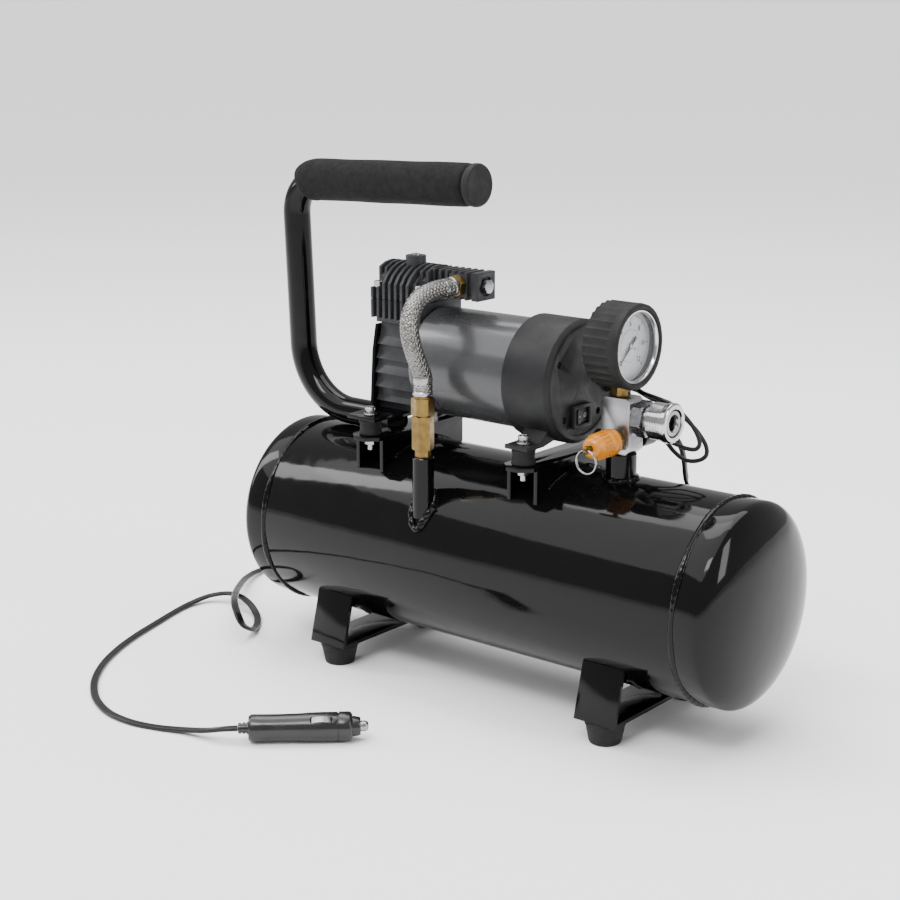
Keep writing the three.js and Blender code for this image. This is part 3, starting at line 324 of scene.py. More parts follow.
cord_rest = 2.6
flat_drop = 0.9 * MM  # the flat lead lies lower than a round one would
plug_start = Vector((-67.6, -217.3, 10.8)) * MM
plug_turn = radians(41.9)
plug_along = Vector((cos(plug_turn), sin(plug_turn), 0))
cord_end = plug_start - plug_along * 8.8 * MM
floor_route = [
    (104, 86, 8), (84, 91, cord_rest), (45, 97, cord_rest), (0, 101, cord_rest), (-50, 99, cord_rest),
    (-100, 94, cord_rest), (-150, 92, cord_rest), (-200, 96, cord_rest), (-250, 103, cord_rest),
    (-295, 104, cord_rest), (-326, 93, cord_rest), (-337, 68, 4), (-324, 35, 8), (-293, -6, 16),
    (-263, -40, 23.5), (-240, -63, 27), (-226, -73.5, 24), (-221, -73, 16), (-223, -62, 8), (-230, -50, 4),
    (-240, -37, 3), (-252, -26, 4.5), (-268, -18, 8.5), (-286, -13, 10.5), (-303, -12, 9), (-315, -21, 6.5),
    (-319, -36, 4), (-317, -56, cord_rest), (-306, -92, cord_rest), (-296, -123, cord_rest),
    (-284, -152, cord_rest), (-268, -181, cord_rest), (-248, -207, cord_rest), (-226, -227, cord_rest),
    (-205, -240, cord_rest), (-182, -248, cord_rest), (-158, -249, cord_rest), (-137, -244, cord_rest),
    (-116, -237, 4), (-96, -233, 7.5),
]
cord_route = [
    Vector((lead_x, switch_high.y + 0.3 * MM, lead_z)),
    Vector((lead_x, switch_high.y + 4 * MM, lead_z)),
    Vector((104.5 * MM, switch_high.y + 9 * MM, lead_z - 0.7 * MM)),
    Vector((110 * MM, 48.5 * MM, lead_z - 3.5 * MM)),
    Vector((117 * MM, 50.5 * MM, lead_z - 11.5 * MM)),
    Vector((121 * MM, 51 * MM, lead_z - 22.5 * MM)),
    beside_tank(122.3, 53, 11.6),
    beside_tank(122, 45, 5.8),
    beside_tank(120.5, 33, 3.9),
    beside_tank(119, 19, 3.2),
    beside_tank(118, 4, 3.8),
    beside_tank(117, -14, 7.4),
    beside_tank(116, -32, 19.6),
]
for x, y, z in floor_route:
    cord_route.append(Vector((x, y, z)) * MM - Vector((0, 0, flat_drop)))
cord_route.append(cord_end - plug_along * 10 * MM - Vector((0, 0, 0.3 * MM)))
cord_route.append(cord_end.copy())
cord_path = smooth_path(cord_route, 3 * MM)

cord_width, cord_thickness = 6.2 * MM, 3.1 * MM
core = cord_thickness / 2
twin_section = []
for k in range(24):
    turn = 2 * pi * k / 24
    spread = (cord_width / 2 - core) * (1 if cos(turn) > 0 else -1)
    pinch = 1 - 0.22 * max(0.0, 1 - abs(cos(turn)) * 3.5)
    twin_section.append((core * cos(turn) + spread, core * sin(turn) * pinch))
cable_jacket = look("cable_jacket", (0.005, 0.005, 0.0055), (0.009, 0.009, 0.0095), (0.3, 0.42),
                    (1400, 0.00002), Specular_IOR_Level=0.3)
power_cord = sweep("power_lead", cord_path, twin_section)
settle(power_cord, cable_jacket, stands_for=["power_cord"])


# ---- Tank shell: rolled 2.5 mm steel sheet, gloss black enamel ----
# The two pressed heads butt against it and a hand-laid weld runs round each joint.
def fix_at(piece, matrix):
    """Moves a piece made at the origin by a matrix and keeps the move in its mesh."""
    pick(piece)
    piece.matrix_world = matrix
    bpy.ops.object.transform_apply(location=True, rotation=True, scale=True)
    return piece


def stand(piece, centre, axis, turn=0.0):
    """Puts a piece made upright at the origin in its place, pointing along X, Y or Z."""
    lean = {"X": Euler((0, pi / 2, 0)), "Y": Euler((-pi / 2, 0, 0)), "Z": Euler((0, 0, 0))}[axis]
    spun = Matrix.Rotation(turn, 4, "Z")
    return fix_at(piece, Matrix.Translation(Vector(centre) * MM) @ lean.to_matrix().to_4x4() @ spun)


def turned(name, stations, centre=(0, 0, 0), axis="X", sides=64, loop=False, sharp=35):
    """A round piece: a circle drawn out along an axis, with a radius at every station, in millimetres.

    The stations of a loop come back to their start; other outlines are capped at both ends.
    """
    bpy.ops.object.select_all(action="DESELECT")
    least = 0.02
    first, place = stations[0]
    bpy.ops.mesh.primitive_circle_add(vertices=sides, radius=max(first, least) * MM, fill_type="NOTHING")
    piece = bpy.context.object
    piece.name = name
    bpy.ops.object.mode_set(mode="EDIT")
    bpy.ops.mesh.select_all(action="SELECT")
    bpy.ops.transform.translate(value=(0, 0, place * MM))
    for (before, start), (after, end) in zip(stations, stations[1:]):
        bpy.ops.mesh.extrude_region_move(TRANSFORM_OT_translate={"value": (0, 0, (end - start) * MM)})
        grow = max(after, least) / max(before, least)
        bpy.ops.transform.resize(value=(grow, grow, 1), center_override=(0, 0, end * MM))
    bpy.ops.mesh.select_all(action="SELECT")
    bpy.ops.mesh.remove_doubles(threshold=0.045 * MM)
    if not loop:
        bpy.ops.mesh.select_all(action="SELECT")
        bpy.ops.mesh.fill_holes(sides=0)
    bpy.ops.mesh.select_all(action="SELECT")
    bpy.ops.mesh.normals_make_consistent(inside=False)
    bpy.ops.object.mode_set(mode="OBJECT")
    stand(piece, centre, axis)
    bpy.ops.object.shade_smooth_by_angle(angle=radians(sharp))
    return piece


axis_z = tank_axis / MM
tank_paint = look(
    "tank_paint", (0.0016, 0.0016, 0.0018), (0.0026, 0.0026, 0.003), (0.05, 0.1), (700, 0.000004),
    wave=(46, 0.00016), patch=22, Specular_IOR_Level=0.2,
)
shell = turned("tank_shell_rolled", [(74.9, -191.6), (75, -191), (75, 0), (75, 191), (74.9, 191.6)],
               (0, 0, axis_z), sides=160)
settle(shell, tank_paint, stands_for=["tank_shell"])

# ---- Tank heads: pressed steel dishes with a straight flange, a knuckle and a shallow dome ----
# Same gloss enamel as the shell.
head_stations = [(74.2, 192), (74.7, 192.8), (74.9, 194), (75, 205), (74.9, 209)]
for k in range(1, 19):
    turn = radians(5 * k)
    head_stations.append((74.9 * cos(turn) ** 0.94 if k < 18 else 0, 209 + 21.2 * sin(turn) ** 1.06))
for side, turn_round in (("right", 0), ("left", pi)):
    head = turned("tank_head_pressed_" + side, head_stations, sides=160, sharp=50)
    stand(head, (0, 0, axis_z), "Z", turn_round)
    settle(head, tank_paint, stands_for=["tank_head_" + side])


# ---- Weld beads: laid by hand and painted over, so they are rippled and soft ----
# One round each end of the shell, and short ones where brackets, channels and pipes meet the tank.
def weld_bead(name, route, radius, seed, ripple=0.16, closed=False):
    """A rippled bar along a route in millimetres, half sunk in the joint that it fills."""
    dice = random.Random(seed)
    points = [Vector(p) * MM for p in route]
    path = smooth_path(points, 0.9 * MM)
    phases = [dice.random() * 6 for _ in range(3)]
    total = len(path)

    def swell(share):
        run = share * total * 0.9
        beat = abs(sin(run / 2.1 + 1.2 * sin(run / 13 + phases[0])))
        slow = 0.16 * sin(run / 9 + phases[1]) + 0.1 * sin(run / 21 + phases[2])
        taper = 1 if closed else min(1, 0.35 + 22 * share, 0.35 + 22 * (1 - share))
        return (1 + ripple * beat + slow) * taper

    bead = sweep(name, path, ring_of(radius * MM, 10), scale=swell)
    return settle(bead, tank_paint)


def tank_top(y, skin):
    """Height of the tank's upper side at a distance y from its axis, on a circle just over its skin."""
    return axis_z + sqrt(skin ** 2 - y * y)


def weld_round(name, place, reach, skin, radius, seed, ripple=0.16):
    """A closed bead round a pipe that stands on the tank."""
    route = []
    for k in range(37):
        turn = 2 * pi * k / 36
        y = place[1] + reach * sin(turn)
        route.append((place[0] + reach * cos(turn), y, tank_top(y, skin)))
    weld_bead(name, route, radius, seed, ripple=ripple, closed=True)


for side, x in (("left", -192), ("right", 192)):
    dice = random.Random(side)
    route = []
    for k in range(91):
        turn = 2 * pi * k / 90
        drift = 0.35 * sin(3 * turn + dice.random() * 0.4)
        reach = 74.2 + 0.12 * sin(5 * turn)
        route.append((x + drift, reach * cos(turn), axis_z + reach * sin(turn)))
    route[-1] = route[0]
    weld_bead("weld_head_" + side, route, 2.3, side, ripple=0.07, closed=True)
for side, x in (("left", -foot_x), ("right", foot_x)):
    for end, across in (("front", -1), ("rear", 1)):
        lean = 51.5
        z = axis_z - sqrt(75 ** 2 - lean ** 2)
        route = [(x - 17.5 + 35 * k / 12, across * (lean + 1.3), z - 0.4) for k in range(13)]
        weld_bead(f"weld_foot_{side}_{end}", route, 1.7, side + end)
        climb = [across * (38 + 13 * k / 6) for k in range(7)]
        for edge in (-1, 1):
            route = [(x + edge * 17.9, y, axis_z - sqrt(75.2 ** 2 - y * y)) for y in climb]
            weld_bead(f"weld_foot_{side}_{end}_{edge + 1}", route, 1.3, side + end + "e")
for side, x in mount_spots:
    for edge in (-1, 1):
        for end in (-1, 1):
            across = [end * (14 + 22 * k / 10) for k in range(11)]
            route = [(x + edge * 14.2, y, tank_top(y, 75.1)) for y in across]
            weld_bead(f"weld_channel_{side}_{edge + 1}_{end + 1}", route, 1.5, f"{side}{edge}{end}")
weld_round("weld_outlet", stub_at, 11.7, 75.1, 2.4, "outlet")
weld_round("weld_inlet", pipe_at, 8.6, 75.3, 2.3, "inlet", ripple=0.3)
tail = [(-25 - 1.2 * k, -61.5 - 1.35 * k) for k in range(8)]
weld_bead("weld_inlet_tail", [(x, y, tank_top(y, 75.4)) for x, y in tail], 3.1, "tail", ripple=0.3)

# ---- Inlet pipe and outlet stub: steel, welded upright on the tank and painted with it ----
# The pipe stands off the front flank; its long lower side runs down into the weld.
pipe = turned("inlet_pipe_steel", [(5.3, 139), (8.2, 139), (8.2, 184.6), (7.7, 185.3), (5.3, 185.3)],
              pipe_at, "Z", sides=48)
settle(pipe, tank_paint, stands_for=["inlet_pipe"])
stub = turned("outlet_stub", [(11.2, 178), (11.2, 197.9), (10.6, 198.6), (6, 198.6)], stub_at, "Z", sides=56)
settle(stub, tank_paint, stands_for=["outlet_nipple"])


# ---- Foot brackets, cross channels and compressor cradle: folded steel strip, gloss black ----
# The brackets are welded under the tank; the channels sit on top and carry the rubber mounts.
def copy_of(node, name, bevel=0.5, segments=2, angle=30, smooth=28):
    """The modelled solid itself with its facets merged and every edge broken by a small round."""
    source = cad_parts[node]
    piece = bpy.data.objects.new(name, source.data.copy())
    bpy.context.scene.collection.objects.link(piece)
    pick(piece)
    bpy.ops.object.mode_set(mode="EDIT")
    bpy.ops.mesh.select_all(action="SELECT")
    bpy.ops.mesh.remove_doubles(threshold=0.01 * MM)
    bpy.ops.mesh.customdata_custom_splitnormals_clear()
    bpy.ops.mesh.dissolve_limited(angle_limit=radians(1))
    bpy.ops.mesh.normals_make_consistent(inside=False)
    bpy.ops.object.mode_set(mode="OBJECT")
    edge = piece.modifiers.new("broken_edges", "BEVEL")
    edge.width = bevel * MM
    edge.segments = segments
    edge.limit_method = "ANGLE"
    edge.angle_limit = radians(angle)
    edge.miter_outer = "MITER_ARC"
    bpy.ops.object.modifier_apply(modifier=edge.name)
    bpy.ops.object.shade_smooth_by_angle(angle=radians(smooth))
    return piece


for node in ("foot_bracket_left", "foot_bracket_right", "mount_channel_left", "mount_channel_right",
             "crankcase_cradle"):
    settle(copy_of(node, node + "_folded", 0.7, 3), tank_paint, stands_for=[node])

# ---- Rubber feet: moulded cones under each end of the brackets ----
# Matt black rubber with a little dust, hollow underneath for a screw.
black_rubber = look("black_rubber", (0.006, 0.006, 0.006), (0.011, 0.011, 0.0105), (0.55, 0.78),
                    (1100, 0.00006), wave=(160, 0.00008), Specular_IOR_Level=0.25)
foot_profile = [
    (3.2, 3.2), (3.4, 0.5), (10.6, 0), (11.4, 0.5), (11.9, 1.6), (14.2, 12.8), (14.5, 13.9), (15, 14.4),
    (15, 16.8), (14.7, 17.3), (0, 17.3),
]
for side, x in (("left", -foot_x), ("right", foot_x)):
    for end, y in (("front", -55.7), ("rear", 55.7)):
        node = f"rubber_foot_{side}_{end}"
        foot = turned(node + "_moulded", foot_profile, (x, y, 0), "Z", sides=56)
        settle(foot, black_rubber, stands_for=[node])

# ---- Rubber mounts and their screws: the compressor floats on four of them ----
# Waisted rubber drums; zinc plated socket screws, plain washers and nuts under the channel.
bright_steel = look("bright_steel", (0.38, 0.38, 0.39), (0.27, 0.27, 0.28), (0.18, 0.36), (1500, 0.000015),
                    patch=160, metallic=1.0)


def cut(piece, cutter, operation):
    """Keeps or takes away what a cutter covers; the cutter is gone afterwards."""
    pick(piece)
    trim = piece.modifiers.new("trim", "BOOLEAN")
    trim.operation = operation
    trim.object = cutter
    bpy.ops.object.modifier_apply(modifier=trim.name)
    bpy.data.objects.remove(cutter)


def hexagon(name, across, start, end, centre, axis, both=True, turn=0.0):
    """A hexagon bar with a turned chamfer on both ends, or on its far end only."""
    corner = across / sqrt(3)
    inset = corner - across / 2 * 0.985
    bar = turned(name, [(corner, start), (corner, end)], axis="Z", sides=6, sharp=30)
    low_end = [(corner - inset, start - 0.01), (corner + 0.02, start + inset * 0.55)]
    high_end = [(corner + 0.02, end - inset * 0.55), (corner - inset, end + 0.01)]
    if not both:
        low_end = [(corner + 0.02, start - 0.01)]
    cut(bar, turned(name + "_turning", [*low_end, *high_end], axis="Z", sides=96), "INTERSECT")
    bpy.ops.object.mode_set(mode="EDIT")
    bpy.ops.mesh.select_all(action="SELECT")
    bpy.ops.mesh.remove_doubles(threshold=0.01 * MM)
    bpy.ops.mesh.normals_make_consistent(inside=False)
    bpy.ops.object.mode_set(mode="OBJECT")
    stand(bar, centre, axis, turn)
    bpy.ops.object.shade_smooth_by_angle(angle=radians(30))
    return bar


def joined(name, parts):
    """Several meshes made into one piece."""
    bpy.ops.object.select_all(action="DESELECT")
    for part in parts:
        part.select_set(True)
    bpy.context.view_layer.objects.active = parts[0]
    bpy.ops.object.join()
    parts[0].name = name
    return parts[0]


mount_profile = [
    (3, 190.35), (8.6, 190.35), (9, 190.8), (9, 192), (8.3, 193.8), (8.05, 196.2), (8.3, 198.6), (9, 200.4),
    (9, 201.5), (8.6, 201.95), (3, 201.95),
]
washer_profile = [(2.6, 205.6), (5.3, 205.6), (5.5, 205.8), (5.5, 206.4), (5.3, 206.6), (2.6, 206.6)]
cap_profile = [
    (0, 206.6), (4.1, 206.6), (4.25, 206.9), (4.25, 211.1), (3.9, 211.55), (2.5, 211.6), (2.35, 211.3),
    (2.35, 209.2), (0, 208.9),
]
for side, x in mount_spots:
    for end, y in (("front", -47.5), ("rear", 47.5)):
        node = f"isolator_{side}_{end}"
        spot = (x, y, 0)
        drum = turned(node + "_moulded", mount_profile, spot, "Z", sides=48)
        settle(drum, black_rubber, stands_for=[node])
        turn = random.Random(node).random()
        stem = turned("screw", [(2.5, 178), (2.5, 206)], spot, "Z", sides=24)
        washer = turned("washer", washer_profile, spot, "Z", sides=40)
        cap = turned("cap", cap_profile, spot, "Z", sides=36)
        nut = hexagon("nut", 8, 182.2, 186.7, spot, "Z", turn=turn)
        screw = joined(f"isolator_screw_{side}_{end}", [stem, washer, cap, nut])
        settle(screw, bright_steel, stands_for=[f"isolator_bolt_{side}_{end}"])


# ---- Carrying handle: one bent steel tube, gloss black, welded to the left channel ----
# It lies along the tank's top, rises at the left end, leaning out a little, and runs back over the set.
def bent_route(corners, bends, step=3.0):
    """Points along straight runs joined by round bends. Corners are x and z in millimetres, all at y = 0."""
    route = [Vector((corners[0][0], 0, corners[0][1]))]
    for corner, before, after, bend in zip(corners[1:-1], corners, corners[2:], bends):
        here = Vector((corner[0], 0, corner[1]))
        back = (Vector((before[0], 0, before[1])) - here).normalized()
        on = (Vector((after[0], 0, after[1])) - here).normalized()
        half = back.angle(on) / 2
        centre = here + (back + on).normalized() * bend / sin(half)
        start = here + back * bend / (sin(half) / cos(half)) - centre
        stop = here + on * bend / (sin(half) / cos(half)) - centre
        pieces = max(8, round(start.angle(stop) * bend / step))
        for k in range(pieces + 1):
            route.append(centre + start.normalized().slerp(stop.normalized(), k / pieces) * bend)
    route.append(Vector((corners[-1][0], 0, corners[-1][1])))
    return route


handle_corners = [(-113.8, 191.05), (-212.5, 191.05), (-220.5, 374.6), (-37.5, 381.2)]
handle_route = bent_route(handle_corners, (53, 28))
handle_path = [p * MM for p in handle_route]
handle = sweep("handle_tube_bent", handle_path, ring_of(11 * MM, 40), upright=Vector((0, 1, 0)))
settle(handle, tank_paint, stands_for=["handle_tube"])
for end, across in (("front", -1), ("rear", 1)):
    route = []
    for angle in range(10, 171, 20):
        y, rise = across * 11.2 * sin(radians(angle)), 11.2 * cos(radians(angle))
        route.append((-113.9, y, handle_corners[0][1] + rise))
    weld_bead("weld_handle_" + end, route, 1.4, end)

# ---- Foam grip: closed-cell sleeve pushed over the tube from the free end ----
# Soft matt black with fine pores; its skin bulges slightly and rolls in at both ends.
grip_foam = look("grip_foam", (0.0045, 0.0045, 0.005), (0.008, 0.008, 0.0085), (0.82, 0.97), (1900, 0.00016),
                 wave=(90, 0.0006), patch=120, Specular_IOR_Level=0.22)
grip_start = next(i for i, p in enumerate(handle_route) if p.z > 351 and p.x > -207)
grip_route = handle_route[grip_start:-1]
last_stretch = handle_route[-1] - grip_route[-1]
for k in range(1, 31):
    share = k / 30
    short_of_end = last_stretch.normalized() * (0.8 * share)
    grip_route.append(handle_route[-2] + last_stretch * share - short_of_end)


def grip_swell(share):
    """Rolled ends, and a skin that is a little fuller in the middle of the sleeve."""
    edge = min(share, 1 - share) * 24
    roll = sqrt(max(0.0, 1 - (1 - min(1, edge)) ** 2))
    return 0.86 + 0.135 * roll + 0.008 * sin(share * 17)


fine_route = smooth_path([p * MM for p in grip_route], 1.2 * MM)
grip = sweep("handle_grip_foam", fine_route, ring_of(16.6 * MM, 56), upright=Vector((0, 1, 0)),
             scale=grip_swell)
settle(grip, grip_foam, stands_for=["handle_grip"])

# ---- Grip end plug: moulded rubber disc pressed into the tube's open end ----
# Slightly domed, with a soft edge that stands just proud of the foam.
(bend_x, bend_z), (end_x, end_z) = handle_corners[2:]
grip_tilt = atan2(end_z - bend_z, end_x - bend_x)
end_plug = turned(
    "handle_end_plug",
    [(0, -10), (9, -10), (9, 0.2), (15.4, 0.2), (16.2, 1), (16.35, 2.6), (16.3, 4.6), (15.6, 6), (14.2, 6.5),
     (13.6, 6.2), (8, 6.5), (0, 6.6)],
    sides=72,
)
tube_end = Vector((end_x, 0, end_z)) * MM
fix_at(end_plug, Matrix.Translation(tube_end) @ Matrix.Rotation(-grip_tilt, 4, "Y"))
settle(end_plug, black_rubber, stands_for=["handle_end_cap"])

# ---- Crankcase, cylinder and cylinder head: sand-cast aluminium, painted dark grey ----
# Fins cool the cylinder and head; a screw in each corner pocket clamps both down on the crankcase.
cast_grey = look("cast_grey", (0.018, 0.0185, 0.021), (0.027, 0.0275, 0.03), (0.36, 0.56), (620, 0.00009),
                 wave=(120, 0.00025), patch=90, metallic=0.2, Specular_IOR_Level=0.3)
for node, bevel, segments in (("crankcase", 0.7, 3), ("cylinder", 0.5, 2), ("cylinder_head", 0.5, 2)):
    settle(copy_of(node, node + "_cast", bevel, segments), cast_grey, stands_for=[node])
screw_reach = 20.5
cap_profile = [
    (2.0, 299.8), (3.5, 300.05), (3.6, 300.4), (3.6, 304.2), (3.2, 304.6), (2.0, 304.6), (1.8, 302.5),
    (0, 302.3),
]
for side, across in (("left", -1), ("right", 1)):
    for end, along in (("front", -1), ("rear", 1)):
        spot = (cylinder_x + across * screw_reach, along * screw_reach, 0)
        cap = turned(f"head_screw_{side}_{end}", cap_profile, spot, "Z", sides=36)
        settle(cap, bright_steel)
boss_screw = turned(
    "head_boss_screw", [(3.6, 322), (3.6, 324.8), (3.2, 325.2), (1.9, 325.2), (1.8, 323.6), (0, 323.4)],
    (cylinder_x, 0, 0), "Z", sides=36,
)
settle(boss_screw, bright_steel)

# ---- Delivery block: finned casting on the side of the head, with its hexagon plug ----
# The same dark grey paint; the plug is bright steel.
settle(copy_of("delivery_block", "delivery_block_cast", 0.45, 2), cast_grey,
       stands_for=["delivery_block"])
plug_hex = hexagon("delivery_plug_hex", 10, -26.4, -21.7, (0, 0, delivery_z), "X", both=False)
plug_stem = turned("stem", [(3.6, -33.7), (3.6, -25)], (0, 0, delivery_z), "X", sides=24)
settle(joined("delivery_plug_steel", [plug_hex, plug_stem]), bright_steel,
       stands_for=["delivery_plug"])

# ---- Motor can: drawn steel tube with a satin grey lacquer ----
# One seamless tube with a rolled edge at the crankcase end; its sheen is drawn out along its length.
can_lacquer = look("can_lacquer", (0.052, 0.053, 0.056), (0.066, 0.067, 0.07), (0.2, 0.3), (900, 0.00001),
                   wave=(35, 0.0001), patch=30, stretch=(0.25, 1, 1), metallic=0.4, Coat_Weight=0.15)
can = turned(
    "motor_can_drawn",
    [(20, -68), (38.6, -68), (40.4, -67.5), (41.3, -66.2), (41.5, -64.5), (41.5, 38.5), (41.2, 39.6),
     (39.5, 40), (39.5, 37), (39.3, -60), (20, -61)],
    motor_at, "X", sides=128,
)
settle(can, can_lacquer, stands_for=["motor_can"])

# ---- Inside the motor and the cylinder: magnet ring, armature with its crank, piston ----
# Out of sight in use: dark ferrite and bare metal.
ferrite = look("ferrite", (0.03, 0.03, 0.03), (0.05, 0.05, 0.05), (0.5, 0.7), (900, 0.00003))
for node, material, slot_name in (
    ("field_magnet", ferrite, "black_rubber"),
    ("armature", bright_steel, "bright_steel"),
    ("piston", bright_steel, "bright_steel"),
):
    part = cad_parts[node]
    part.data.materials.clear()
    part.data.materials.append(material)

# ---- Motor cover: moulded black plastic bell with two legs over the right-hand mounts ----
# Fine matt grain; its face lies back inside a thin rim.
black_plastic = look("black_plastic", (0.007, 0.007, 0.008), (0.0105, 0.0105, 0.0115), (0.4, 0.58),
                     (1500, 0.00005), wave=(60, 0.0001), Specular_IOR_Level=0.25)
settle(copy_of("motor_cover", "motor_cover_moulded", 0.6, 3, smooth=32), black_plastic,
       stands_for=["motor_cover"])
screw_circle = 33
for k, angle in enumerate((30, 150, 230, 310)):
    y, rise = screw_circle * cos(radians(angle)), screw_circle * sin(radians(angle))
    screw = turned(
        f"cover_screw_{k + 1}",
        [(0, 60.2), (2.6, 60.2), (2.6, 61.6), (2.2, 62.2), (1.2, 62.4), (1.1, 61.6), (0, 61.5)],
        (0, y, motor_at[2] + rise), "X", sides=28,
    )
    settle(screw, bright_steel)

# ---- Switch: snap-in frame with a rocker, plain line and ring marks ----
# The rocker tilts about a pin across the frame; its face is a shallow trough, highest at both edges.
def block(size, soft=0.0, segments=2):
    """A cuboid of a size in millimetres at the origin, with soft edges if asked."""
    bpy.ops.object.select_all(action="DESELECT")
    bpy.ops.mesh.primitive_cube_add(size=1)
    piece = bpy.context.object
    piece.scale = [side * MM for side in size]
    bpy.ops.object.transform_apply(location=False, rotation=False, scale=True)
    if soft:
        edge = piece.modifiers.new("soft_edges", "BEVEL")
        edge.width = soft * MM
        edge.segments = segments
        bpy.ops.object.modifier_apply(modifier=edge.name)
    return piece


settle(copy_of("switch_frame", "switch_frame_moulded", 0.35, 3), black_plastic,
       stands_for=["switch_frame"])
rocker = copy_of("switch_rocker", "switch_rocker_moulded", 0.3, 3)
settle(rocker, black_plastic, "rocker", ["switch_rocker"])
mark_white = look("mark_white", (0.72, 0.72, 0.7), (0.6, 0.6, 0.58), (0.4, 0.6), (900, 0.00001))
line_mark = block((0.14, 2.7, 0.55))
ring_mark = turned("ring", [(1.15, -0.08), (1.7, -0.08), (1.7, 0.08), (1.15, 0.08), (1.15, -0.08)],
                   sides=28, loop=True)
rocker_pin = Vector((63.9, -2.2, 220.5)) * MM
rocker_frame = Matrix.Translation(rocker_pin) @ Matrix.Rotation(radians(10), 4, "Z")
face_middle, face_rise, face_half = 1.8, 0.8, 7.5
for mark, name, spot in ((line_mark, "rocker_mark_line", -4.6), (ring_mark, "rocker_mark_ring", 4.4)):
    slope = atan2(face_rise, face_half) * (1 if spot > 0 else -1)
    height = face_middle + face_rise * abs(spot) / face_half
    seat = Matrix.Translation(Vector((height + 0.02, spot, 0)) * MM) @ Matrix.Rotation(-slope, 4, "Z")
    mark.name = name
    fix_at(mark, rocker_frame @ seat)
    settle(mark, mark_white, "rocker")

# ---- Brass line fittings: adapter on the delivery block, hose nut and check valve ----
# Turned from hexagon bar, a little tarnished.
turned_brass = look("turned_brass", (0.23, 0.15, 0.05), (0.135, 0.086, 0.028), (0.24, 0.44), (1300, 0.00002),
                    patch=110, metallic=1.0)
adapter_hex = hexagon("adapter_hex", 15.2, -17, -11, adapter_at, "Y", turn=0.2)
adapter_stem = turned("adapter_stem", [(3.6, -13), (3.6, -5.2)], adapter_at, "Y", sides=24)
adapter_neck = turned("adapter_neck", [(6.2, -17.4), (6.6, -17), (6.6, -16)], adapter_at, "Y", sides=36)
valve_big = hexagon("valve_hex", 14.5, 191, 216.9, pipe_at, "Z", turn=0.3)
valve_small = hexagon("valve_small", 10.4, 185.6, 191.4, pipe_at, "Z", both=False, turn=0.3)
valve_spigot = turned("valve_spigot", [(4, 177.3), (4, 186.2)], pipe_at, "Z", sides=24)
nut_hex = hexagon("nut_hex", 15.2, 217.2, 230.6, pipe_at, "Z", turn=0.12)
nut_ring = turned("nut_ring", [(7.0, 230.2), (7.0, 231.6), (6.6, 232), (5, 232)], pipe_at, "Z", sides=40)
for node, parts in (
    ("hose_adapter", [adapter_hex, adapter_stem, adapter_neck]),
    ("check_valve", [valve_big, valve_small, valve_spigot]),
    ("hose_nut", [nut_hex, nut_ring]),
):
    settle(joined(node + "_brass", parts), turned_brass, stands_for=[node])

# ---- Delivery hose: rubber tube under a woven stainless braid, a crimped ferrule at each end ----
# Real strands: two sets of ribbons wind opposite ways and pass over and under one another.
hose_route = [
    (-43.6, -17.3, 306.5), (-43.5, -31.3, 306.5), (-42.6, -45, 305.8), (-41.8, -57, 303),
    (-40.8, -66.5, 296.6), (-39.6, -71.6, 288), (-38.4, -72.4, 277), (-37.2, -69, 264), (-36.2, -64.6, 253),
    (-35.4, -62, 245), (-35.4, -62, 232.3),
]
hose_path = smooth_path([Vector(p) * MM for p in hose_route], 0.8 * MM)
hose_core = sweep("hose_core", hose_path, ring_of(6.2 * MM, 24), upright=Vector((1, 0, 0)))
settle(hose_core, black_rubber)
frames_along = []
side = Vector((1, 0, 0))
for i, point in enumerate(hose_path):
    ahead = (hose_path[min(i + 1, len(hose_path) - 1)] - hose_path[max(i - 1, 0)]).normalized()
    side = (side - ahead * side.dot(ahead)).normalized()
    frames_along.append((point, side.copy(), ahead.cross(side).normalized()))
runs = [0.0]
for a, b in zip(hose_path, hose_path[1:]):
    runs.append(runs[-1] + (b - a).length / MM)
strands, pitch, braid_radius, weave_depth = 12, 48.0, 6.75, 0.3
strand_half = 1.5 / braid_radius
crown_half = strand_half * 0.55
ribbon = ((-strand_half, -0.22), (-crown_half, 0.16), (crown_half, 0.16), (strand_half, -0.22))
verts, faces = [], []
for way in (1, -1):
    for k in range(strands):
        first = len(verts)
        for (point, side, up), run in zip(frames_along, runs):
            angle = 2 * pi * (k / strands + way * run / pitch)
            over = way * cos(2 * pi * strands * run / pitch)
            out = (braid_radius + weave_depth * over) * MM
            for turn, lift in ribbon:
                radial = side * cos(angle + turn) + up * sin(angle + turn)
                verts.append(point + radial * (out + lift * MM))
        for i in range(len(hose_path) - 1):
            for c in range(3):
                a = first + i * 4 + c
                faces.append((a, a + 1, a + 5, a + 4))
braid_mesh = bpy.data.meshes.new("hose_braid")
braid_mesh.from_pydata(verts, [], faces)
braid = bpy.data.objects.new("hose_braid", braid_mesh)
bpy.context.scene.collection.objects.link(braid)
pick(braid)
thick = braid.modifiers.new("wire_thickness", "SOLIDIFY")
thick.thickness = 0.18 * MM
thick.offset = -1
bpy.ops.object.modifier_apply(modifier=thick.name)
bpy.ops.object.shade_smooth_by_angle(angle=radians(50))
braid_steel = look("braid_steel", (0.26, 0.255, 0.24), (0.14, 0.135, 0.13), (0.2, 0.36), (2600, 0.00003),
                   patch=300, metallic=1.0)
settle(braid, braid_steel, stands_for=["braided_hose"])
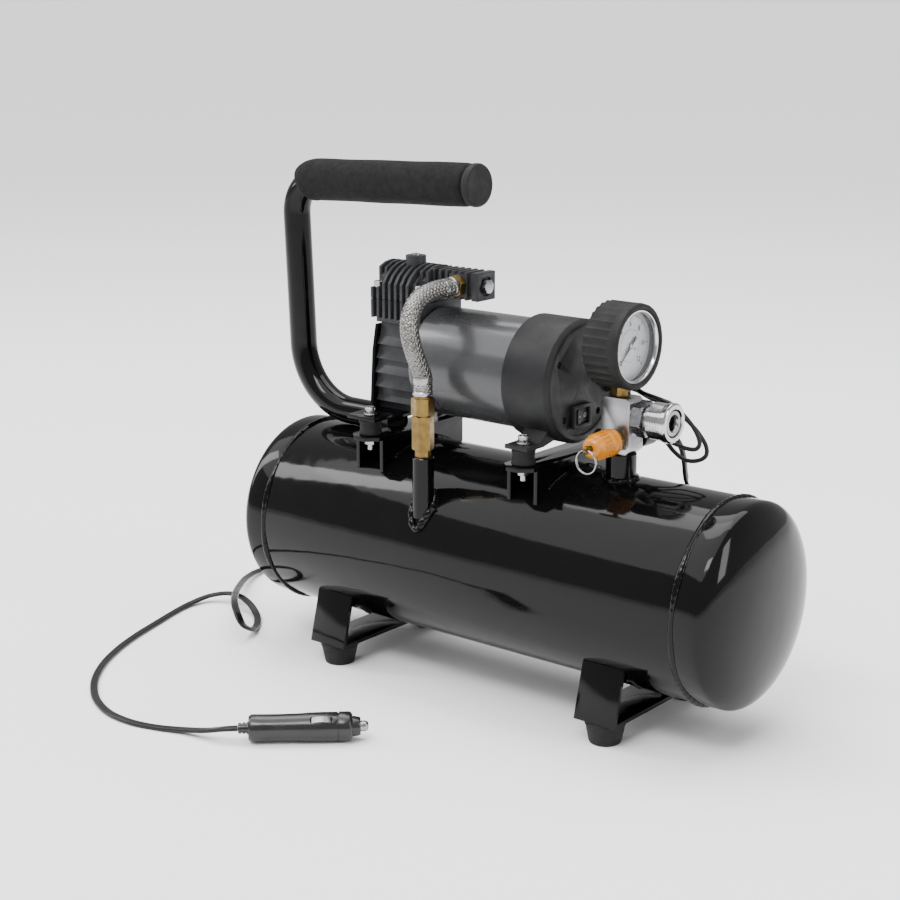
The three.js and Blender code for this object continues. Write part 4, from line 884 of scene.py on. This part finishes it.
for name, place, axis, start, stop in (
    ("hose_ferrule_top", adapter_at, "Y", -17.4, -30),
    ("hose_ferrule_foot", pipe_at, "Z", 232, 246),
):
    way = 1 if stop > start else -1
    crimped = [(5.4, 0), (7.3, 0.1), (7.6, 0.6), (7.6, 2.4), (7.1, 3), (6.75, 3.6), (6.75, 8.8), (7.1, 9.4),
               (7.2, 10.4)]
    outline = [(radius, start + way * along) for radius, along in crimped]
    outline += [(7.15, stop - way * 0.5), (6.7, stop), (6.3, stop)]
    ferrule = turned(name, outline, place, axis, sides=56)
    settle(ferrule, bright_steel)

# ---- Outlet block: drilled aluminium bar between tank, gauge, coupler, safety valve and switch ----
# Sawn and milled faces, plain and unpainted.
drilled_block = look("drilled_block", (0.42, 0.42, 0.43), (0.32, 0.32, 0.335), (0.24, 0.4), (900, 0.00003),
                     patch=60, stretch=(0.15, 1, 1), metallic=1.0)
settle(copy_of("outlet_block", "outlet_block_milled", 0.45, 3), drilled_block,
       stands_for=["outlet_block"])

# ---- Pressure gauge: steel case with brass stem in a ribbed rubber boot, facing the coupler's side ----
# A bright bezel ring, a pale dial with plain numbers and a glass held inside the boot's lip.
gauge_y, gauge_z = gauge_at[1:]
case_steel = look("gauge_case_steel", (0.03, 0.03, 0.031), (0.05, 0.05, 0.05), (0.4, 0.55), (1200, 0.00003))
case = turned(
    "gauge_case_drawn",
    [(3, 88), (27, 88), (28, 89), (28, 110.6), (27.6, 111), (26, 111), (26, 90.4), (3, 90)],
    gauge_at, "X", sides=96,
)
stem_at = (98.5, gauge_y, 0)
stem_hex = hexagon("stem_hex", 13, 240.3, 250.5, stem_at, "Z", turn=0.26)
stem_thread = turned("stem_thread", [(4.5, 231), (4.5, 241)], stem_at, "Z", sides=28)
settle(joined("gauge_stem_brass", [stem_hex, stem_thread]), turned_brass)
post = turned("post", [(3, 89), (3, 103.8), (1.5, 103.8), (1.5, 98)], gauge_at, "X", sides=24)
settle(joined("gauge_case_drawn", [case, post]), case_steel, stands_for=["gauge_case"])

boot = copy_of("gauge_boot", "gauge_boot_moulded", 0.45, 3, angle=24, smooth=35)
settle(boot, black_rubber, stands_for=["gauge_boot"])

chrome_plate = look("chrome_plate", (0.56, 0.56, 0.57), (0.47, 0.47, 0.48), (0.06, 0.16), (1500, 0.000006),
                    patch=120, metallic=1.0)
bezel = turned(
    "gauge_bezel",
    [(25.9, 110.9), (26.4, 111.2), (26.6, 112), (26.1, 112.5), (25.2, 112.3), (24.6, 111.2), (24.4, 110.1),
     (25.6, 109.9), (25.9, 110.9)],
    gauge_at, "X", sides=128, loop=True,
)
settle(bezel, chrome_plate)

dial_face = look("dial_face", (0.46, 0.47, 0.49), (0.41, 0.42, 0.44), (0.35, 0.5), (1400, 0.00001),
                 patch=60, metallic=0.3)
dial = turned("gauge_dial_plate", [(1.5, 104.7), (25.4, 104.7), (25.4, 105.45), (25.2, 105.5), (1.5, 105.5)],
              gauge_at, "X", sides=96)
settle(dial, dial_face, stands_for=["gauge_dial"])
dial_ink = look("dial_ink", (0.015, 0.015, 0.016), (0.02, 0.02, 0.02), (0.4, 0.6), (900, 0.00001))
dial_turn = Matrix(((0, 0, 1, 0), (1, 0, 0, 0), (0, 1, 0, 0), (0, 0, 0, 1)))
dial_top = 105.56
least_angle, sweep_angle = 225, 270


def on_dial(part, angle, reach, spin=0.0):
    """Lays a flat mark made in X and Y on the dial, at an angle from level and a reach from the centre."""
    spot = Vector((dial_top, gauge_y + reach * cos(angle), gauge_z + reach * sin(angle))) * MM
    return fix_at(part, Matrix.Translation(spot) @ dial_turn @ Matrix.Rotation(spin, 4, "Z"))


marks = []
for k in range(61):
    angle = radians(least_angle - sweep_angle * k / 60)
    length = 3.2 if k % 10 == 0 else (2.3 if k % 5 == 0 else 1.4)
    mark = block((length, 0.62 if k % 10 == 0 else 0.34, 0.08))
    marks.append(on_dial(mark, angle, 22.6 - length / 2, angle))
for k in range(7):
    angle = radians(least_angle - sweep_angle * k / 6)
    bpy.ops.object.select_all(action="DESELECT")
    bpy.ops.object.text_add()
    number = bpy.context.object
    number.data.body = str(k * 2)
    number.data.size = 5.4 * MM
    number.data.offset = 0.12 * MM
    number.data.align_x = "CENTER"
    number.data.align_y = "CENTER"
    number.data.extrude = 0.04 * MM
    number.data.resolution_u = 3
    bpy.ops.object.convert(target="MESH")
    marks.append(on_dial(bpy.context.object, angle, 15.8))
settle(joined("gauge_scale_marks", marks), dial_ink)
arc = turned(
    "gauge_inner_circle", [(11.6, 105.52), (11.85, 105.52), (11.85, 105.6), (11.6, 105.6), (11.6, 105.52)],
    gauge_at, "X", sides=72, loop=True,
)
settle(arc, dial_ink)
for k, across in enumerate((-1, 1)):
    rivet = turned(f"dial_screw_{k + 1}", [(1.3, 105.5), (1.3, 105.8), (0.9, 106.1), (0, 106.15)],
                   (0, gauge_y + across * 6.6, gauge_z - 3.2), "X", sides=24)
    settle(rivet, bright_steel)

pointer = turned("pointer", [(1.0, -8.6), (1.5, -8.2), (1.35, -3), (1.0, 6), (0.35, 18)], sides=12)
bpy.ops.object.mode_set(mode="EDIT")
bpy.ops.mesh.select_all(action="SELECT")
bpy.ops.transform.resize(value=(1, 1, 0.22), center_override=(0, 0, 0))
bpy.ops.object.mode_set(mode="OBJECT")
fix_at(pointer, Matrix.Translation(Vector((106.6, gauge_y, gauge_z)) * MM)
       @ Matrix.Rotation(radians(222), 4, "X") @ dial_turn)
settle(pointer, dial_ink, "needle", ["gauge_needle"])
hub = turned("pointer_hub", [(0.9, 104), (0.9, 105.9), (2, 106), (2, 107.2), (1.5, 107.6), (0, 107.7)],
             gauge_at, "X", sides=32)
settle(hub, bright_steel, "needle")

clear_lens = bpy.data.materials.new("clear_lens")
clear_lens.use_nodes = True
lens = clear_lens.node_tree
lens_surface = add_node(lens, "ShaderNodeGroup", {
    "Patch Scale": 60, "Roughness Low": 0.01, "Roughness High": 0.03,
}, node_tree=worked_surface)
lens_shader = lens.nodes["Principled BSDF"]
feed(lens, lens_shader, {
    "Base Color": (0.97, 0.98, 0.98, 1), "IOR": 1.46, "Roughness": lens_surface.outputs["Roughness"],
})
lens_clear = add_node(lens, "ShaderNodeBsdfTransparent", {})
lens_edge = add_node(lens, "ShaderNodeLayerWeight", {"Blend": 0.12})
lens_share = add_node(lens, "ShaderNodeMapRange", {
    "Value": lens_edge.outputs["Fresnel"], "To Min": 0.02, "To Max": 0.3,
})
lens_mix = add_node(lens, "ShaderNodeMixShader", {
    "Fac": lens_share.outputs[0], 1: lens_clear.outputs[0], 2: lens_shader.outputs[0],
})
feed(lens, lens.nodes["Material Output"], {"Surface": lens_mix.outputs[0]})
glass = turned("gauge_glass_disc", [(25.3, 108.2), (25.4, 108.3), (25.4, 109.7), (25.3, 109.8), (0, 109.8)],
               gauge_at, "X", sides=96)
settle(glass, clear_lens, stands_for=["gauge_glass"])

# ---- Safety valve: brass body, amber plastic cap, pull stem with a split ring ----
# Screwed into the front of the block, pointing away from the tank's side.
valve_cap = look("valve_cap", (0.56, 0.2, 0.001), (0.46, 0.15, 0.001), (0.3, 0.46), (1100, 0.00003),
                 patch=70, Subsurface_Weight=0.1, Subsurface_Scale=0.002)
body_hex = hexagon("relief_hex", 13, -7, 0, relief_at, "Y", turn=0.3)
body_spigot = turned("relief_spigot", [(2.9, -20), (6, -20), (6, -6.5)], relief_at, "Y", sides=40)
body_thread = turned("relief_thread", [(3.6, -1), (3.6, 6)], relief_at, "Y", sides=28)
settle(joined("relief_valve_brass", [body_hex, body_spigot, body_thread]), turned_brass,
       stands_for=["relief_valve_body"])
cap = turned(
    "relief_cap_moulded",
    [(6.4, -7.3), (9.4, -7.3), (9.8, -7.7), (9.9, -9.6), (9.5, -10.4), (9.5, -13), (9.9, -13.8), (9.9, -16),
     (9.5, -16.8), (9.1, -17.4), (9.1, -27.2), (8.7, -28), (7.9, -29), (7.5, -31.8), (7.1, -32.6),
     (6.1, -33.2), (5.5, -33.7), (2.5, -33.7), (2.5, -30.2), (6.4, -30.2), (6.4, -7.3)],
    relief_at, "Y", sides=72, loop=True,
)
ribs = [cap]
for k in range(18):
    turn = 2 * pi * k / 18
    rib = block((0.9, 9.6, 1.1), 0.3)
    spot = Vector(relief_at) + Vector((9.15 * sin(turn), -22.3, 9.15 * cos(turn)))
    fix_at(rib, Matrix.Translation(spot * MM) @ Matrix.Rotation(turn, 4, "Y"))
    bpy.ops.object.shade_smooth_by_angle(angle=radians(35))
    ribs.append(rib)
settle(joined("relief_cap_moulded", ribs), valve_cap, stands_for=["relief_valve_cap"])
stem = turned("relief_stem", [(2, -8), (2, -37.4), (1.6, -37.8), (0, -37.8)], relief_at, "Y", sides=32)
collar = turned("collar", [(2, -25.1), (4.6, -25.1), (4.6, -23.3), (2, -23.3)], relief_at, "Y", sides=40)
eye_at = (relief_at[0], -48.4, relief_at[2])
eye = turned(
    "eye", [(1.25, -1.3), (2.9, -1.3), (3.1, -1.1), (3.1, 1.1), (2.9, 1.3), (1.25, 1.3), (1.25, -1.3)],
    eye_at, "X", sides=40, loop=True,
)
settle(joined("relief_stem_brass", [stem, collar, eye]), turned_brass, "valve_stem",
       ["relief_valve_stem"])
ring_radius, ring_hang, ring_lead = 8.5, 8.6, 1.3
ring_route = []
for k in range(105):
    turn = 2 * pi * k / 52
    spot = (eye_at[0] + ring_radius * sin(turn), eye_at[1] + (k / 104 - 0.5) * ring_lead,
            eye_at[2] - ring_hang + ring_radius * cos(turn))
    ring_route.append(Vector(spot) * MM)
split_ring = sweep("relief_pull_ring", ring_route, ring_of(0.6 * MM, 10), upright=Vector((0, 1, 0)))
settle(split_ring, bright_steel, "valve_ring", ["relief_split_ring"])

# ---- Quick coupler: plated steel body with a sliding sleeve, bored for the hose plug ----
# Hexagon at the block, grooved sleeve with a raised lip in front, and a black lining in the bore that is
# painted shade.
body_hex = hexagon("coupler_hex", 23.4, 2.3, 11.3, coupler_at, "X", turn=0.26)
body_seat = turned("coupler_seat", [(7, -2.2), (8.2, -1.9), (8.2, 2.4), (7, 2.5)], coupler_at, "X", sides=48)
body_tube = turned(
    "coupler_tube",
    [(5.5, 6.3), (9.5, 11), (9.5, 30.4), (9.0, 31.2), (6.6, 31.4), (6.1, 31), (5.5, 29.8), (5.5, 6.3)],
    coupler_at, "X", sides=64, loop=True,
)
settle(joined("coupler_body_plated", [body_hex, body_seat, body_tube]), bright_steel,
       stands_for=["coupler_body"])
# Painted shade: a black sleeve in the rubber material lines the bore's wall and closes its floor, where the
# bore is only in shadow.
bore = turned("coupler_bore_painted_shade", [(5.45, 28), (5.45, 7.2), (0, 7)], coupler_at, "X", sides=48, loop=True)
settle(bore, black_rubber)
sleeve_rings = [(10, 15.2), (12.9, 15.2), (13.4, 15.7)]
for k in range(7):
    at = 16.6 + k * 1.35
    sleeve_rings += [(13.4, at), (13.0, at + 0.22), (13.0, at + 0.5), (13.4, at + 0.72)]
sleeve_rings += [
    (13.4, 26.6), (14.2, 27.2), (14.6, 27.7), (14.6, 30.7), (14.2, 31.4), (13.3, 32), (10.6, 32), (10, 31.4),
    (10, 15.2),
]
sleeve = turned("coupler_sleeve_plated", sleeve_rings, coupler_at, "X", sides=96, loop=True, sharp=28)
settle(sleeve, chrome_plate, "sleeve", ["coupler_sleeve"])

# ---- Pressure switch and motor wires: black capsule behind the block, two insulated leads ----
# The leads loop out past the coupler and back; each ends in a moulded boot.
switch_hex = hexagon("pressure_hex", 14, 8.3, 13.3, switch_at, "Y")
switch_body = turned(
    "pressure_body",
    [(8.6, 12.8), (10, 12.9), (10.5, 13.5), (10.5, 29.6), (10.2, 30.4), (5.0, 34.9), (4.2, 35.2), (0, 35.3)],
    switch_at, "Y", sides=64,
)
switch_spigot = turned("pressure_spigot", [(3.6, 3.3), (3.6, 9)], switch_at, "Y", sides=24)
switch_capsule = joined("pressure_switch_capsule", [switch_body, switch_hex, switch_spigot])
settle(switch_capsule, black_plastic, stands_for=["pressure_switch"])
wire_a = [
    (64.3, 27, 15), (78, 25, 17.5), (92, 22, 17), (104, 20.5, 13), (118, 20, 10.6), (129, 21, 7.5),
    (139.5, 21.5, 0), (147.5, 22, -8.5), (151.5, 22, -17), (149, 21.5, -22), (141, 21, -22.6),
    (129, 20.5, -20), (113.3, 20, -17.5),
]
wire_b = [
    (64.3, 31, 9), (78, 30, 12), (92, 28, 12.4), (105, 27, 8.6), (119, 27.5, 5), (131, 29, -1),
    (143, 30, -10), (152, 29.5, -20), (153.5, 28, -27.5), (147, 26.5, -32), (137, 26, -32.6),
    (128, 26, -28), (121, 26, -22), (113.3, 26, -18.5),
]
for name, points in (("motor_wire_a", wire_a), ("motor_wire_b", wire_b)):
    route = smooth_path([Vector((x, y, coupler_at[2] + rise)) * MM for x, y, rise in points], 1.5 * MM)
    wire = sweep(name + "_insulated", route, ring_of(1.6 * MM, 14))
    settle(wire, cable_jacket, stands_for=[name])
    for end, near, onward in (("start", route[0], route[4]), ("end", route[-1], route[-5])):
        way = (onward - near).normalized()
        boot_path = [near + way * (0.3 + 0.5 * k) * MM for k in range(13)]
        boot = sweep(f"{name}_{end}_boot", boot_path, ring_of(2.5 * MM, 20),
                     scale=lambda share: 1 - 0.28 * share)
        settle(boot, black_rubber)
way = (cord_route[1] - cord_route[0]).normalized()
strain_path = [cord_route[0] + way * (-0.2 + 0.6 * k) * MM for k in range(11)]
strain_section = [(a * 1.25, b * 0.85) for a, b in ring_of(4.1 * MM, 28)]
strain = sweep("power_lead_strain_relief", strain_path, strain_section, scale=lambda share: 1 - 0.25 * share)
settle(strain, black_rubber)

# ---- Accessory plug: moulded black body, bright tip and a side contact of spring steel ----
# The rear is a stepped strain relief; the nose collar unscrews for the fuse.
plug_frame = Matrix.Translation(plug_start) @ Matrix.Rotation(plug_turn, 4, "Z")
plug_shell = turned(
    "plug_body_moulded",
    [(3.2, -8.5), (3.9, -8), (4.0, -6.4), (3.4, -6.2), (3.4, -5.2), (4.2, -5), (4.2, -3.4), (3.6, -3.2),
     (3.6, -2.2), (4.6, -2), (4.6, -0.8), (8.6, -0.8), (9.5, 0.3), (9.9, 1.6), (9.75, 8), (9.65, 20),
     (9.9, 34), (10.35, 43), (10.5, 48), (10.5, 62), (10.2, 62.7), (9.7, 62.8), (9.7, 63.4), (10.5, 63.6),
     (10.7, 64.2), (10.7, 70.8), (10.2, 72), (9.2, 73), (8.6, 73.3), (7.4, 73.4), (7.3, 75), (6.6, 78.2),
     (6.2, 79), (4.4, 79.1), (4.4, 77)],
    sides=96, sharp=32,
)
fix_at(plug_shell, plug_frame)
contact_turn = Matrix.Rotation(pi - radians(50), 4, "X")
slot_cutter = block((16, 26, 4.8), 1.2, 3)
fix_at(slot_cutter, plug_frame @ contact_turn @ Matrix.Translation(Vector((51, 0, 0)) * MM))
cut(plug_shell, slot_cutter, "DIFFERENCE")
bpy.ops.object.shade_smooth_by_angle(angle=radians(32))
plug_plastic = look("plug_plastic", (0.008, 0.008, 0.009), (0.013, 0.013, 0.014), (0.16, 0.3),
                    (1200, 0.00001), wave=(90, 0.0001))
settle(plug_shell, plug_plastic, stands_for=["plug_body"])
leaf_path = []
for k in range(17):
    share = k / 16
    leaf_path.append(Vector((43.6 + 14.6 * share, 0, 8.8 + 2.4 * sin(pi * share) ** 0.8)) * MM)
leaf_section = [(a * MM, b * MM) for a, b in ((-2.2, -0.3), (2.2, -0.3), (2.2, 0.3), (-2.2, 0.3))]
contact_parts = []
for side in (-1, 1):
    leaf = sweep("leaf", leaf_path, leaf_section)
    fix_at(leaf, plug_frame @ contact_turn @ Matrix.Rotation(side * pi / 2, 4, "X"))
    contact_parts.append(leaf)
settle(joined("plug_contact_leaf", contact_parts), bright_steel, stands_for=["plug_contact"])
plug_tip = turned(
    "plug_tip_steel",
    [(0, 66.9), (5.4, 66.9), (5.4, 69.3), (3.9, 69.3), (3.9, 82.4), (3.6, 83.4), (2.6, 84.5), (0, 84.9)],
    sides=48,
)
fix_at(plug_tip, plug_frame)
settle(plug_tip, bright_steel, "plug_tip", ["plug_tip"])
